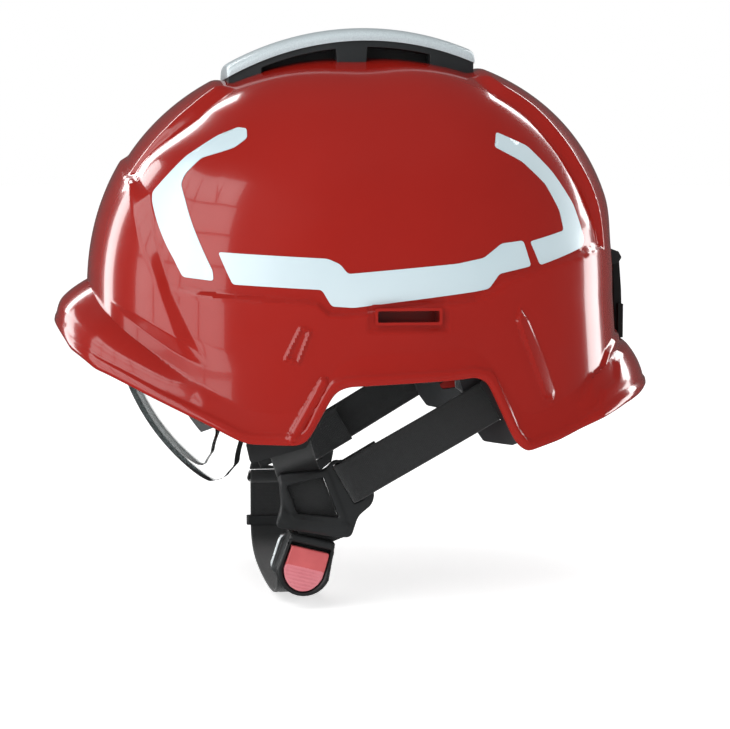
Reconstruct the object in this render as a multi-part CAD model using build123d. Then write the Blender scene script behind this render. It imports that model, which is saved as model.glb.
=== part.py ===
from build123d import *
import math
import os

# Rescue helmet, in millimetres. The wearer faces -Y, their left is +X, up is +Z.
# The origin is the centre of the head opening, at the height of the headband.

# Driving sizes of the shell
RIM_HEIGHT = 30            # height where the dome starts to close
DOME_TOP = 147
DOME_CENTRE_Y = 3
HALF_WIDTH = 107
FRONT_REACH = 126.5
REAR_REACH = 129.5
PLAN_POWER = 2.25          # squareness of the shell seen from above
SHELL_WALL = 2.8
LINER_GAP = 1.5
FACE_GAP = 0.06            # between parts that lie against the curved shell

# Driving sizes of the inside
CAVITY_HALF_WIDTH = 84
CAVITY_HALF_LENGTH = 104
CAVITY_TOP = 108
CAVITY_BASE = 10
CAVITY_CENTRE_Y = 2
BAND_HALF_WIDTH = 78
BAND_FRONT = 96
BAND_WALL = 1.6

# Visor: its lens turns about a pin on each side of the shell
PIVOT_Y = -8
PIVOT_Z = 24.4
LENS_RADIUS = 108
LENS_HALF_WIDTH = 101
LENS_WALL = 2.2

# Accessory slots in the sides
SLOT_Y = 15
SLOT_Z = 23.5
SLOT_LENGTH = 30
SLOT_HEIGHT = 7

# Harness
WEB_WIDTH = 20
WEB_WALL = 1.6
DIVIDER_X = 78             # middle of the divider plates
DIVIDER_WALL = 4
CHIN_PIVOT_Z = -73.5
CHIN_Y = -31

# Fit adjuster
KNOB_Z = -8
CRADLE_HALF_WIDTH = 80.2
CRADLE_REAR = 102
CRADLE_WALL = 2.2
CRADLE_BEND_Y = 44
PINION_RADIUS = 5
FIT_TRAVEL = 12

# Lower edge of the shell seen from the side, front to rear, as (y, z)
SHELL_EDGE = [
    (-143, 19), (-134, 6), (-123, -2), (-101, -13), (-75.5, -24.8), (-62, -31.5), (-57, -33),
    (-36, -33.4), (-31, -31.5), (-19, -9.5), (-13, -7), (35, -4.8), (47, -3.6), (53, -6),
    (65.5, -34), (71, -38.8), (87, -34.5), (122, -21.5), (137, -17), (150, -15),
]


def ease(value):
    """Smooth step from 0 to 1."""
    t = min(max(value, 0.0), 1.0)
    return t * t * (3 - 2 * t)


def signed_power(value, power):
    return math.copysign(abs(value) ** power, value)


def edge_height(y):
    """Height of the shell's lower edge at a distance along the helmet."""
    for (y0, z0), (y1, z1) in zip(SHELL_EDGE[:-1], SHELL_EDGE[1:]):
        if y <= y1:
            return z0 + (z1 - z0) * max(y - y0, 0) / (y1 - y0)
    return SHELL_EDGE[-1][1]


def shell_point(turn, height, inset):
    """Point on the shell wall, turned by an angle from straight back."""
    c, s = math.cos(turn), math.sin(turn)
    rear, front = max(c, 0), max(-c, 0)
    rise = min(max((height - RIM_HEIGHT) / (DOME_TOP - inset - RIM_HEIGHT), 0), 1)
    power = 2.05 + 0.33 * ease(rear * 1.4) + 0.10 * ease(front * 1.4)
    closing = (1 - rise ** power) ** (1 / power)
    reach = (REAR_REACH if c > 0 else FRONT_REACH) - inset
    width = HALF_WIDTH - inset
    spread = max(RIM_HEIGHT - height, 0) * (0.02 + 0.05 * rear)
    sx, cy = signed_power(s, 2 / PLAN_POWER), signed_power(c, 2 / PLAN_POWER)
    x = (width * closing + spread) * sx
    y = DOME_CENTRE_Y + (reach * closing + spread) * cy
    # The brim flares out above the lower edge, most at the front and rear
    brim = 1.6 + 15.3 * front ** 2.3 + 8.5 * rear ** 3
    brim_height = 13 + 6 * front ** 3 + 9 * rear ** 3
    tip_height = edge_height(DOME_CENTRE_Y + (reach + brim) * cy)
    drop = min(max((tip_height + brim_height - height - inset / 2) / brim_height, 0), 1)
    flare = brim * (c * c * (1 - (1 - drop) ** 2.2) + s * s * drop ** 1.3)
    nx = signed_power(s, 2 - 2 / PLAN_POWER) / width
    ny = signed_power(c, 2 - 2 / PLAN_POWER) / reach
    size = math.hypot(nx, ny)
    return x + flare * nx / size, y + flare * ny / size


def shell_form(inset, lowest=-46):
    """Closed form of the shell, shrunk by the inset."""
    top = DOME_TOP - inset
    heights = [lowest, -32, -22, -12, -3, 6, 14, 22, 30, 42, 58, 76]
    heights += [top - drop for drop in (52, 36, 23, 13, 6, 2, 0.4)]
    turns = [math.radians(7.5 + 15 * i) for i in range(24)]
    sections = []
    for height in heights:
        points = [(*shell_point(turn, height, inset), height) for turn in turns]
        sections.append(Wire([Edge.make_spline([Vector(*p) for p in points], periodic=True)]))
    return Solid.make_loft(sections)


def side_prism(points, x0, x1):
    """Straight-sided outline in (y, z), run across the helmet from x0 to x1."""
    face = make_face(Polyline(*points, close=True))
    return extrude(Plane.YZ.offset(x0) * face, amount=x1 - x0)


def rounded_prism(points, x0, x1, radius):
    """The same as side_prism, with its corners rounded."""
    face = make_face(Polyline(*points, close=True))
    face = fillet(face.vertices(), radius)
    return extrude(Plane.YZ.offset(x0) * face, amount=x1 - x0)


def box_between(low, high):
    size = [b - a for a, b in zip(low, high)]
    centre = [(a + b) / 2 for a, b in zip(low, high)]
    return Pos(*centre) * Box(*size)


def rod(x0, x1, y, z, radius):
    """Round bar along X."""
    return Pos((x0 + x1) / 2, y, z) * Rot(0, 90, 0) * Cylinder(radius, x1 - x0)


def mirrored(solid):
    return mirror(solid, about=Plane.YZ)


def ellipsoid(half_x, half_y, half_z):
    ball = scale(Sphere(1), by=(half_x, half_y, half_z))
    return Pos(0, CAVITY_CENTRE_Y, CAVITY_BASE) * ball


def offset_path(points, distance):
    """Points of a smooth path moved sideways by a distance."""
    path = Edge.make_spline([Vector(*p) for p in points])
    count = 4 * len(points)
    moved = []
    for i in range(count + 1):
        place = path @ (i / count)
        along = path % (i / count)
        moved.append((place.X - along.Y * distance, place.Y + along.X * distance))
    return moved


def ribbon(points, plane, width, wall=WEB_WALL):
    """Webbing that follows a path drawn on a plane, run square to it by its width."""
    one = offset_path(points, wall / 2)
    two = offset_path(points, -wall / 2)
    sides = [Spline(*one), Line(one[-1], two[-1]), Spline(*two[::-1]), Line(two[0], one[0])]
    face = make_face(sides)
    return extrude(plane * face, amount=width / 2, both=True)


def plan_band(half_width, reach, wall, low, high, rearward=False):
    """Half-oval band with straight sides, open at one end, between two heights."""
    def form(w, r):
        oval = Ellipse(w, r) & (Pos(0, r) * Rectangle(2 * w, 2 * r))
        return oval + Pos(0, -CRADLE_BEND_Y / 2) * Rectangle(2 * w, CRADLE_BEND_Y)
    ring = extrude(form(half_width + wall, reach + wall) - form(half_width, reach), amount=high - low)
    if rearward:
        return Pos(0, CRADLE_BEND_Y, low) * ring
    return Pos(0, 0, low) * Rot(0, 0, 180) * ring


def main_solid(shape):
    """The largest solid of a shape."""
    return max(shape.solids(), key=lambda solid: solid.volume)


os.makedirs("parts", exist_ok=True)
nodes = {}

# ---------------------------------------------------------------- shell
shell_outer = shell_form(0)
shell_inner = shell_form(SHELL_WALL)
around_shell = shell_form(-FACE_GAP)
within_shell = shell_form(SHELL_WALL + FACE_GAP)
edge_prism = side_prism(SHELL_EDGE + [(150, 170), (-150, 170)], -140, 140)

side_slots = [
    Pos(side * HALF_WIDTH, SLOT_Y, SLOT_Z) * Box(24, SLOT_LENGTH, SLOT_HEIGHT) for side in (-1, 1)
]
vent_length = 38
vents = [
    Pos(x, y, DOME_TOP) * Box(7, vent_length, 60) for x in (-12, 12) for y in (-26, 26)
]
COVER_SCREW_Y = 51
screw_holes = [Pos(0, y, 120) * Cylinder(2.2, 80) for y in (-COVER_SCREW_Y, 0, COVER_SCREW_Y)]

outer_shell = (shell_outer - shell_inner) & edge_prism
outer_shell = outer_shell - side_slots - vents - screw_holes
nodes["outer_shell"] = outer_shell

# ---------------------------------------------------------------- visor lens form
def lens_form(inset):
    """Egg-like form that the lens is cut from, about the pivot line."""
    a, b = LENS_HALF_WIDTH - inset, LENS_RADIUS - inset
    turns = [math.radians(15 * i) for i in range(7)]
    arc = [
        (a * math.cos(t) ** (2 / PLAN_POWER), b * math.sin(t) ** (2 / PLAN_POWER)) for t in turns[:-1]
    ] + [(0, b)]
    face = make_face([Spline(*arc, tangents=[(0, 1), (-1, 0)]), Polyline((0, b), (0, 0), (a, 0))])
    half = revolve(face, Axis.X, 360)
    return Pos(0, PIVOT_Y, PIVOT_Z) * (half + mirrored(half))


lens_outer = lens_form(0)
lens_inner = lens_form(LENS_WALL)


def around_pivot(radius, angle):
    """(y, z) at a radius from the pivot, measured up from straight ahead."""
    a = math.radians(angle)
    return PIVOT_Y - radius * math.cos(a), PIVOT_Z + radius * math.sin(a)


# ---------------------------------------------------------------- liner
LINER_BASE_FRONT = 8
LINER_BASE_REAR = 16
liner_form = shell_form(SHELL_WALL + LINER_GAP)
cavity = ellipsoid(CAVITY_HALF_WIDTH, CAVITY_HALF_LENGTH, CAVITY_TOP - CAVITY_BASE)
cavity += Pos(0, CAVITY_CENTRE_Y, CAVITY_BASE - 40) * extrude(
    Ellipse(CAVITY_HALF_WIDTH, CAVITY_HALF_LENGTH), amount=40
)
liner_side = side_prism(
    [(-150, LINER_BASE_FRONT), (-48, LINER_BASE_FRONT), (-40, LINER_BASE_REAR), (150, LINER_BASE_REAR),
     (150, 150), (-150, 150)],
    -140, 140,
)
visor_sweep = side_prism(
    [(PIVOT_Y + 8, PIVOT_Z - 60), (PIVOT_Y + 8, PIVOT_Z + 14), around_pivot(60, 52), around_pivot(200, 47),
     around_pivot(200, -60)],
    -140, 140,
)
liner = (liner_form & liner_side) - cavity
liner = liner - (visor_sweep - lens_form(2 * LENS_WALL + 1.4))
liner = liner - [rod(x0, x0 + 20, PIVOT_Y, PIVOT_Z, 13.5) for x0 in (-111.5, 91.5)]
channel_form = ellipsoid(CAVITY_HALF_WIDTH + 5, CAVITY_HALF_LENGTH - 9, CAVITY_TOP - CAVITY_BASE + 5)
channels = [Pos(x, CAVITY_CENTRE_Y, 80) * Box(8, 190, 120) for x in (-42, -18, 18, 42)]
liner = liner - [channel_form & channel for channel in channels]
liner = liner - [Pos(side * 98, SLOT_Y, SLOT_Z) * Box(16, SLOT_LENGTH + 3, SLOT_HEIGHT + 3) for side in (-1, 1)]
liner = liner - vents
liner = liner - [Pos(0, y, 120) * Cylinder(6, 80) for y in (-COVER_SCREW_Y, 0, COVER_SCREW_Y)]
liner = main_solid(liner)
SEGMENT_GAP = 0.5          # between the four segments of the liner
for side, left_or_right in ((1, "left"), (-1, "right")):
    for end, front_or_rear in ((-1, "front"), (1, "rear")):
        quarter = box_between((0, 0, -50), (150, 150, 200))
        quarter = Pos(SEGMENT_GAP / 2, SEGMENT_GAP / 2, 0) * quarter
        quarter = quarter if end > 0 else mirror(quarter, about=Plane.XZ)
        quarter = quarter if side > 0 else mirrored(quarter)
        nodes[f"impact_liner_{front_or_rear}_{left_or_right}"] = main_solid(liner & quarter)

# ---------------------------------------------------------------- vent cover on the crown
COVER_ARC_Y = 8.5          # centre of the cover's long arc
COVER_ARC_Z = 19.9
COVER_ARC_RADIUS = 139
COVER_FRONT = -60
COVER_REAR = 61


def cover_arc(y):
    """Height of the cover's crown line."""
    return COVER_ARC_Z + math.sqrt(COVER_ARC_RADIUS ** 2 - (y - COVER_ARC_Y) ** 2)


def under_cover_arc(drop):
    """Everything below the crown line, dropped by a distance."""
    stations = (COVER_REAR + 3, 45, 25, 1, -23, -43, COVER_FRONT - 3)
    arc = [(y, cover_arc(y) - drop) for y in stations]
    return side_prism([(COVER_FRONT - 3, 100), (COVER_REAR + 3, 100)] + arc, -40, 40)


def cover_form(drop, inset, base_drop):
    """Arched cover lofted from cross-sections along the helmet."""
    sections = []
    for i in range(7):
        y = COVER_FRONT + inset + (COVER_REAR - COVER_FRONT - 2 * inset) * i / 6
        along = (y - 1) / 61
        half = 27 - 4 * along ** 2 * (1.3 if y < 0 else 0.9) - inset
        top = cover_arc(y) - drop
        base = cover_arc(y) - base_drop
        turns = [math.radians(22.5 * k) for k in range(9)]
        arc = [
            (half * signed_power(math.cos(t), 0.72), y, base + (top - base) * signed_power(math.sin(t), 0.72))
            for t in turns
        ]
        curve = Edge.make_spline([Vector(*p) for p in arc])
        floor = Edge.make_line(Vector(*arc[-1]), Vector(*arc[0]))
        sections.append(Wire([curve, floor]))
    return Solid.make_loft(sections)


CAP_RIM = 9
CAP_WALL = 2.4
cover_cap = cover_form(0, 0, CAP_RIM) - cover_form(CAP_WALL, CAP_WALL, CAP_RIM + 6) - around_shell

cover_plan = make_face(Polyline(
    (-26, -30), (-21.6, COVER_FRONT + 1), (21.6, COVER_FRONT + 1), (26, -30), (26.4, 30), (23, COVER_REAR - 1),
    (-23, COVER_REAR - 1), (-26.4, 30), close=True,
))
cover_body = (extrude(cover_plan, amount=170) & under_cover_arc(CAP_RIM)) - around_shell
gaps_between_feet = [
    side_prism([(y0, 100), (y1, 100), (y1 - 1.5, z1), (y0 + 1.5, z0)], -40, 40)
    for y0, y1, z0, z1 in ((-44, -7, 137, 144.5), (7, 39, 145, 141.5))
]
cover_body = cover_body - gaps_between_feet
screw_stations = (-COVER_SCREW_Y, 0, COVER_SCREW_Y)
air_duct = extrude(Rectangle(35, 106), amount=170) & under_cover_arc(CAP_RIM + 2)
air_duct = air_duct - [Pos(0, y, 130) * Box(60, 14, 80) for y in screw_stations]
cover_body = cover_body - air_duct
SCREW_GRIP = 5             # how far each screw enters the cover


def crown_height(y):
    """Height of the shell's crown above the middle line."""
    low, high = RIM_HEIGHT, DOME_TOP
    turn = 0 if y > DOME_CENTRE_Y else math.pi
    for _ in range(30):
        middle = (low + high) / 2
        inside = abs(shell_point(turn, middle, 0)[1] - DOME_CENTRE_Y) > abs(y - DOME_CENTRE_Y)
        low, high = (middle, high) if inside else (low, middle)
    return low


screw_tops = [(y, crown_height(y)) for y in screw_stations]
cover_body = cover_body - [Pos(0, y, z) * Cylinder(1.55, 2 * SCREW_GRIP) for y, z in screw_tops]
nodes["vent_cover"] = cover_body
nodes["vent_cover_cap"] = cover_cap

HEAD_SIDE_DROP = 2.4       # heads near the ends sit lower, because the dome slopes there
screws = []
for y, top in screw_tops:
    head_top = top - SHELL_WALL - 0.4 - (HEAD_SIDE_DROP if y else 0)
    shaft = Pos(0, y, head_top) * Cylinder(
        1.5, top + SCREW_GRIP - 1 - head_top, align=(Align.CENTER, Align.CENTER, Align.MIN),
    )
    head = Pos(0, y, head_top) * Cylinder(4, 2, align=(Align.CENTER, Align.CENTER, Align.MAX))
    recess = Pos(0, y, head_top - 2) * (Box(4, 1, 2.2) + Box(1, 4, 2.2))
    screws.append(shaft + head - recess)
nodes["vent_cover_screws"] = Compound(children=screws)

# ---------------------------------------------------------------- reflective patches
PATCH_WALL = 0.35
patch_skin = shell_form(-PATCH_WALL) - around_shell
patch_outlines = {
    "front": [(-59, 110.5), (-55.5, 109), (-57, 103), (-65, 100), (-82.5, 89), (-84.5, 84), (-83.5, 76), (-73.5, 44.5),
              (-73, 40), (-85.5, 41), (-89, 49), (-97, 75.5), (-97, 79), (-82, 95.5), (-68.5, 105.5)],
    "side": [(-70.5, 52.6), (-19, 49.6), (-12, 43), (38.4, 47.4), (51.5, 49.6), (60.4, 56), (71, 57), (74.5, 45.5),
             (59, 42.4), (54, 35.6), (46, 34.3), (-12.6, 27.6), (-19.4, 28.5), (-24, 35.5), (-64.7, 38)],
    "rear": [(62, 108.3), (77.8, 101.8), (90.6, 89.3), (101.3, 74), (106.6, 57), (105, 54), (81, 45.8), (75.7, 57),
             (94.6, 61.6), (92.2, 71.5), (85.4, 84), (73.9, 94.5), (60.5, 101.5)],
}
for name, outline in patch_outlines.items():
    left = patch_skin & rounded_prism(outline, 30, 140, 1)
    nodes[f"reflective_patch_{name}_left"] = left
    nodes[f"reflective_patch_{name}_right"] = mirrored(left)

# ---------------------------------------------------------------- headband and its pads
BAND_LOW = -8
BAND_HIGH = 22
BAND_SIDE_HIGH = 13
BAND_REAR = CRADLE_BEND_Y - FIT_TRAVEL - 0.5
band = plan_band(BAND_HALF_WIDTH, BAND_FRONT, BAND_WALL, BAND_LOW, BAND_HIGH)
band_side = rounded_prism(
    [(-120, BAND_LOW - 1), (BAND_REAR, BAND_LOW + 1), (BAND_REAR, BAND_SIDE_HIGH), (-30, BAND_SIDE_HIGH),
     (-55, BAND_HIGH), (-120, BAND_HIGH + 1)],
    -100, 100, 0.9,
)
headband = band & band_side
band_holes = [rod(-90, 90, y, 2, 1.8) for y in (-60, -46, -32)]
headband = headband - band_holes
nodes["headband"] = headband

brow_pad = plan_band(BAND_HALF_WIDTH - 4, BAND_FRONT - 4, 4, BAND_LOW - 2, BAND_HIGH - 1)
brow_pad = brow_pad & rounded_prism(
    [(-120, BAND_LOW - 3), (-30, BAND_LOW - 1), (-26, BAND_LOW + 4), (-34, BAND_SIDE_HIGH - 2), (-56, BAND_HIGH - 2),
     (-120, BAND_HIGH + 2)],
    -100, 100, 1.5,
)
nodes["brow_pad"] = brow_pad

# ---------------------------------------------------------------- crown straps
def crown_arc(half_width, half_height, width):
    ring = Ellipse(half_width, half_height) - Ellipse(half_width - 1.2, half_height - 1.2)
    return extrude(ring, amount=width / 2, both=True)


above_band = box_between((-120, -120, 16.2), (120, 120, 140))
long_plane = Plane(origin=(0, CAVITY_CENTRE_Y, CAVITY_BASE), x_dir=(0, 1, 0), z_dir=(1, 0, 0))
long_strap = long_plane * crown_arc(102.2, 95, WEB_WIDTH)
nodes["crown_strap_long"] = long_strap & above_band
CROSS_Y = -25
cross_plane = Plane(origin=(0, CROSS_Y, CAVITY_BASE), x_dir=(1, 0, 0), z_dir=(0, -1, 0))
cross_strap = cross_plane * crown_arc(77.6, 86.8, WEB_WIDTH)
nodes["crown_strap_cross"] = cross_strap & above_band

pad_form = ellipsoid(75, 94, 86.6) - ellipsoid(70, 89, 81.6)
crown_pad = pad_form & (Pos(0, -5, 80) * extrude(RectangleRounded(76, 96, 26), amount=60, both=True))
nodes["crown_pad"] = crown_pad & box_between((-60, -80, 40), (60, 80, 120))

band_core = extrude(Ellipse(BAND_HALF_WIDTH + BAND_WALL + 0.05, BAND_FRONT + BAND_WALL + 0.05), amount=40)
anchor_front = box_between((-13, -CAVITY_HALF_LENGTH + 0.5, 9), (13, -BAND_FRONT + 2, 16))
anchor_side = box_between((BAND_HALF_WIDTH - 8, CROSS_Y - 13, 9), (87, CROSS_Y + 13, 15.9))
anchor_rear = box_between((-13, CAVITY_HALF_LENGTH - 1.5, 17), (13, CAVITY_HALF_LENGTH + 4, 26))
anchor_blocks = (anchor_front - band_core, anchor_side - band_core, mirrored(anchor_side) - band_core, anchor_rear)
liner_clearance = [liner, long_strap, cross_strap]
strap_anchors = [block - liner_clearance for block in anchor_blocks]
nodes["strap_anchors"] = Compound(children=[main_solid(anchor) for anchor in strap_anchors])

# ---------------------------------------------------------------- lamp clip at the rear
CLIP_HINGE_Y = 136.4
CLIP_HINGE_Z = 46
clip_base = rounded_prism([(126, 40), (137, 43.4), (138.6, 46), (137, 49), (126, 53)], -11, 11, 0.8)
clip_gap = Pos(0, CLIP_HINGE_Y, CLIP_HINGE_Z) * Rot(0, 90, 0) * Cylinder(3.4, 12.6)
clip_way = box_between((-6.3, CLIP_HINGE_Y - 2, 30), (6.3, CLIP_HINGE_Y + 8, CLIP_HINGE_Z))
clip_base = clip_base - around_shell - clip_gap - clip_way
clip_pin = rod(-9.5, 9.5, CLIP_HINGE_Y, CLIP_HINGE_Z, 1.2)
clip_base = clip_base - rod(-9.5, 9.5, CLIP_HINGE_Y, CLIP_HINGE_Z, 1.2)
nodes["rear_clip_base"] = main_solid(clip_base)
nodes["rear_clip_pin"] = clip_pin

clip_eye = rod(-6, 6, CLIP_HINGE_Y, CLIP_HINGE_Z, 2.6)
clip_arm = rounded_prism(
    [(135.2, 45), (138.6, 45), (139.8, 30), (140.4, 12), (140.2, 5), (136.8, 5), (136.2, 14), (136, 28)], -6, 6, 0.9,
)
clip_strap = clip_eye + clip_arm + (Pos(0, 139, 14) * Box(17, 2.6, 17))
clip_strap = clip_strap - rod(-7, 7, CLIP_HINGE_Y, CLIP_HINGE_Z, 1.25)
nodes["rear_clip_strap"] = clip_strap

# ---------------------------------------------------------------- visor
PIN_RADIUS = 3
ARM_TOP = -13
ARM_BOTTOM = -46
pin_head_x = LENS_HALF_WIDTH - 6.5
pivot_pin = rod(pin_head_x, 110, PIVOT_Y, PIVOT_Z, PIN_RADIUS) & within_shell
pivot_pin += rod(pin_head_x - 1.6, pin_head_x, PIVOT_Y, PIVOT_Z, 5)
nodes["visor_pivot_pins"] = Compound(children=[pivot_pin, mirrored(pivot_pin)])

lens_ring = lens_outer - lens_inner
# The lens is cut square to a line that looks up at it from below and ahead
lens_tilt = 32
lens_plane = Plane(origin=(0, PIVOT_Y, PIVOT_Z), x_dir=(1, 0, 0), z_dir=(
    0, -math.cos(math.radians(lens_tilt)), -math.sin(math.radians(lens_tilt)),
))
lens_half_outline = [
    (0, 31), (74, 31), (84, 20), (84, -14), (74, -24), (62, -34), (46, -39), (26, -39.5), (17, -36), (10, -28), (0, -25),
]
lens_outline = lens_half_outline + [(-x, y) for x, y in lens_half_outline[-2:0:-1]]
lens_face = make_face(Polyline(*lens_outline, close=True))
lens_cut = extrude(lens_plane * lens_face, amount=140)
visor_lens = (lens_ring & lens_cut) & box_between((-90, -150, -80), (90, PIVOT_Y - 20, 60))

arm_outline = [
    around_pivot(11, 60), around_pivot(60, ARM_TOP + 4), around_pivot(88, ARM_TOP), around_pivot(94, -22),
    around_pivot(90, ARM_BOTTOM + 6), around_pivot(60, ARM_BOTTOM), around_pivot(13, -75), around_pivot(12, -150),
    around_pivot(11, 150),
]
arm_span = side_prism(arm_outline, 60, 110)
arm_form = (lens_form(LENS_WALL + 0.1) - lens_form(2 * LENS_WALL + 0.1)) & arm_span
boss = rod(LENS_HALF_WIDTH - 6.3, LENS_HALF_WIDTH - LENS_WALL - 0.2, PIVOT_Y, PIVOT_Z, 8)
arm_left = (arm_form + boss) - rod(90, 110, PIVOT_Y, PIVOT_Z, PIN_RADIUS + 0.05)
rivet_places = [around_pivot(73, -22), around_pivot(73, -38)]
rivet_holes = [rod(60, 110, y, z, 1.6) for y, z in rivet_places]
arm_left = arm_left - rivet_holes
visor_lens = visor_lens - rivet_holes - [mirrored(hole) for hole in rivet_holes]
nodes["visor_lens"] = main_solid(visor_lens)
arm_left = main_solid(arm_left)
nodes["visor_arm_left"] = arm_left
nodes["visor_arm_right"] = mirrored(arm_left)

rivet_shell = lens_form(-0.6) - lens_form(2 * LENS_WALL + 0.8)
rivets = [main_solid(rod(60, 110, y, z, 1.6) & rivet_shell) for y, z in rivet_places]
nodes["visor_rivets"] = Compound(children=rivets + [mirrored(rivet) for rivet in rivets])

# ---------------------------------------------------------------- front anchors, straps and dividers
ANCHOR_X = 88
ANCHOR_BOSS = (-34, -15)
front_anchor = rounded_prism(
    [(-57.5, -35.5), (-55.5, -44.3), (-30, -37.5), (-22, -24), (-24, -8), (-33, -8)], ANCHOR_X, ANCHOR_X + 2.4, 1.5,
)
front_anchor += rod(ANCHOR_X + 2, 112, *ANCHOR_BOSS, 5.5) & within_shell
front_anchor = front_anchor - rod(ANCHOR_X - 5, ANCHOR_X + 8, *ANCHOR_BOSS, 2)
nodes["front_anchor_left"] = front_anchor
nodes["front_anchor_right"] = mirrored(front_anchor)
anchor_rivet = rod(ANCHOR_X, ANCHOR_X + 8, *ANCHOR_BOSS, 2) + rod(ANCHOR_X - 1.5, ANCHOR_X, *ANCHOR_BOSS, 4)
nodes["front_anchor_rivets"] = Compound(children=[anchor_rivet, mirrored(anchor_rivet)])


FRONT_LEAN = 21
BACK_FACE_X = DIVIDER_X - DIVIDER_WALL / 2
web_on_back = BACK_FACE_X - WEB_WALL / 2 - 0.15
front_plane = Plane(
    origin=(0, -31.5, -52), x_dir=(1, 0, 0),
    z_dir=(0, -math.cos(math.radians(FRONT_LEAN)), -math.sin(math.radians(FRONT_LEAN))),
)
web_on_anchor = ANCHOR_X - WEB_WALL / 2 - 0.4
front_path = [
    (web_on_anchor, 27), (web_on_anchor - 0.1, 20), (85.6, 15), (82, 10.5), (77.2, 6.5), (74.8, 3.4),
    (web_on_back - 0.3, -1), (web_on_back, -7),
]
front_right = ribbon(front_path + [(web_on_back, -14)], front_plane, WEB_WIDTH)
nodes["front_strap_right"] = mirrored(front_right)

BUCKLE_TOP = (-25.4, -82.1)
BUCKLE_LEAN = -14.5
front_left = ribbon(front_path + [(web_on_back - 0.1, -16), (73, -24), (69.6, -31), (67.6, -36.5)], front_plane, WEB_WIDTH)

REAR_LEAN = 30
rear_origin = (-8.5, -55.2)
rear_plane = Plane(
    origin=(0, *rear_origin), x_dir=(1, 0, 0),
    z_dir=(0, -math.sin(math.radians(REAR_LEAN)), math.cos(math.radians(REAR_LEAN))),
)
web_on_front = DIVIDER_X + DIVIDER_WALL / 2 + WEB_WALL / 2 + 0.15
rear_path = [
    (86.5, 86), (86, 70), (84.2, 44), (81.8, 20), (web_on_front, 8), (web_on_front, 3.5), (80.2, -0.2),
    (DIVIDER_X, -1.9), (75.8, -0.2), (web_on_back, 3.5), (web_on_back, 9), (web_on_back, 20),
]
rear_left = ribbon(rear_path, rear_plane, WEB_WIDTH)
nodes["rear_strap_left"] = rear_left
nodes["rear_strap_right"] = mirrored(rear_left)


def on_rear_strap(along, across):
    a = math.radians(REAR_LEAN)
    return (
        rear_origin[0] + along * math.cos(a) - across * math.sin(a),
        rear_origin[1] + along * math.sin(a) + across * math.cos(a),
    )


rear_anchor = rounded_prism(
    [on_rear_strap(75, -11), on_rear_strap(98, -11), on_rear_strap(98, 8), on_rear_strap(75, 11)], 87.4, 89.2, 2,
)
anchor_boss_place = on_rear_strap(84, 3)
rear_anchor += rod(88.5, 112, *anchor_boss_place, 4.5) & within_shell
nodes["rear_strap_anchors"] = Compound(children=[
    main_solid(rear_anchor), mirrored(main_solid(rear_anchor)),
])

divider_outline = [
    (-41.5, -51), (-20, -49.6), (-15.5, -44.6), (-9.5, -46), (3.8, -60), (2.6, -66), (-4.2, -71.5), (-7.5, -81.5),
    (-14, -81.3), (-43, -76), (-40.3, -66),
]
divider_window = [(-36.5, -57), (-21, -53.5), (-14.8, -71), (-32.8, -67.5)]
divider_low, divider_high = BACK_FACE_X, DIVIDER_X + DIVIDER_WALL / 2
divider = rounded_prism(divider_outline, divider_low, divider_high, 1.8)
divider -= rounded_prism(divider_window, divider_low - 1, divider_high + 1, 1)
rear_slot = [
    on_rear_strap(along, across)
    for along, across in ((-3.8, -10.7), (1.8, -10.7), (1.8, 10.7), (-3.8, 10.7))
]
divider -= side_prism(rear_slot, divider_low - 1, divider_high + 1)
nodes["divider_left"] = divider

CHIN_BAR_RADIUS = 1.7
chin_gap = box_between((-90, CHIN_Y - 10.4, -90), (-70, CHIN_Y + 10.4, CHIN_PIVOT_Z + 4))
divider_right = mirrored(divider) - chin_gap
chin_bar = Pos(-DIVIDER_X, CHIN_Y, CHIN_PIVOT_Z) * Rot(90, 0, 0) * Cylinder(CHIN_BAR_RADIUS, 22)
divider_right = divider_right + chin_bar
nodes["divider_right"] = main_solid(divider_right)

# ---------------------------------------------------------------- buckle on the left
def on_buckle(across, down):
    """(y, z) of a place on the buckle's face."""
    a = math.radians(BUCKLE_LEAN)
    return (
        BUCKLE_TOP[0] + across * math.cos(a) + down * math.sin(a),
        BUCKLE_TOP[1] + across * math.sin(a) - down * math.cos(a),
    )


def mirrored_outline(half):
    return half + [(-a, d) for a, d in half[::-1]]


buckle_half = [(11.3, -0.3), (13, 9), (12.4, 20), (8.5, 26), (3, 27.6)]
button_half = [(9.8, 4.8), (8.8, 15), (6.6, 22.5), (2.6, 25.4)]
buckle_outline = [on_buckle(a, d) for a, d in mirrored_outline(buckle_half)]
button_outline = [on_buckle(a, d) for a, d in mirrored_outline(button_half)]
well_outline = [on_buckle(a * 1.05, 4.2 + (d - 4.8) * 1.035) for a, d in mirrored_outline(button_half)]

BUCKLE_INNER_X = 63.2
BUCKLE_OUTER_X = 75.5
buckle = rounded_prism(buckle_outline, BUCKLE_INNER_X, BUCKLE_OUTER_X, 1.2)
buckle -= rounded_prism(well_outline, 69.8, 80, 0.8)


def chin_arc(radius, low_turn, high_turn, width, wall):
    """Piece of a ring about the chin strap's pivot, below level by the two turns."""
    def at(r, turn):
        a = math.radians(turn)
        return -DIVIDER_X + r * math.cos(a), CHIN_PIVOT_Z - r * math.sin(a)
    middle = (low_turn + high_turn) / 2
    outer = ThreePointArc(at(radius + wall / 2, low_turn), at(radius + wall / 2, middle), at(radius + wall / 2, high_turn))
    inner = ThreePointArc(at(radius - wall / 2, high_turn), at(radius - wall / 2, middle), at(radius - wall / 2, low_turn))
    face = make_face([outer, Line(outer @ 1, inner @ 0), inner, Line(inner @ 1, outer @ 0)])
    return extrude(Plane.XZ.offset(-CHIN_Y) * face, amount=width / 2, both=True)


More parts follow.
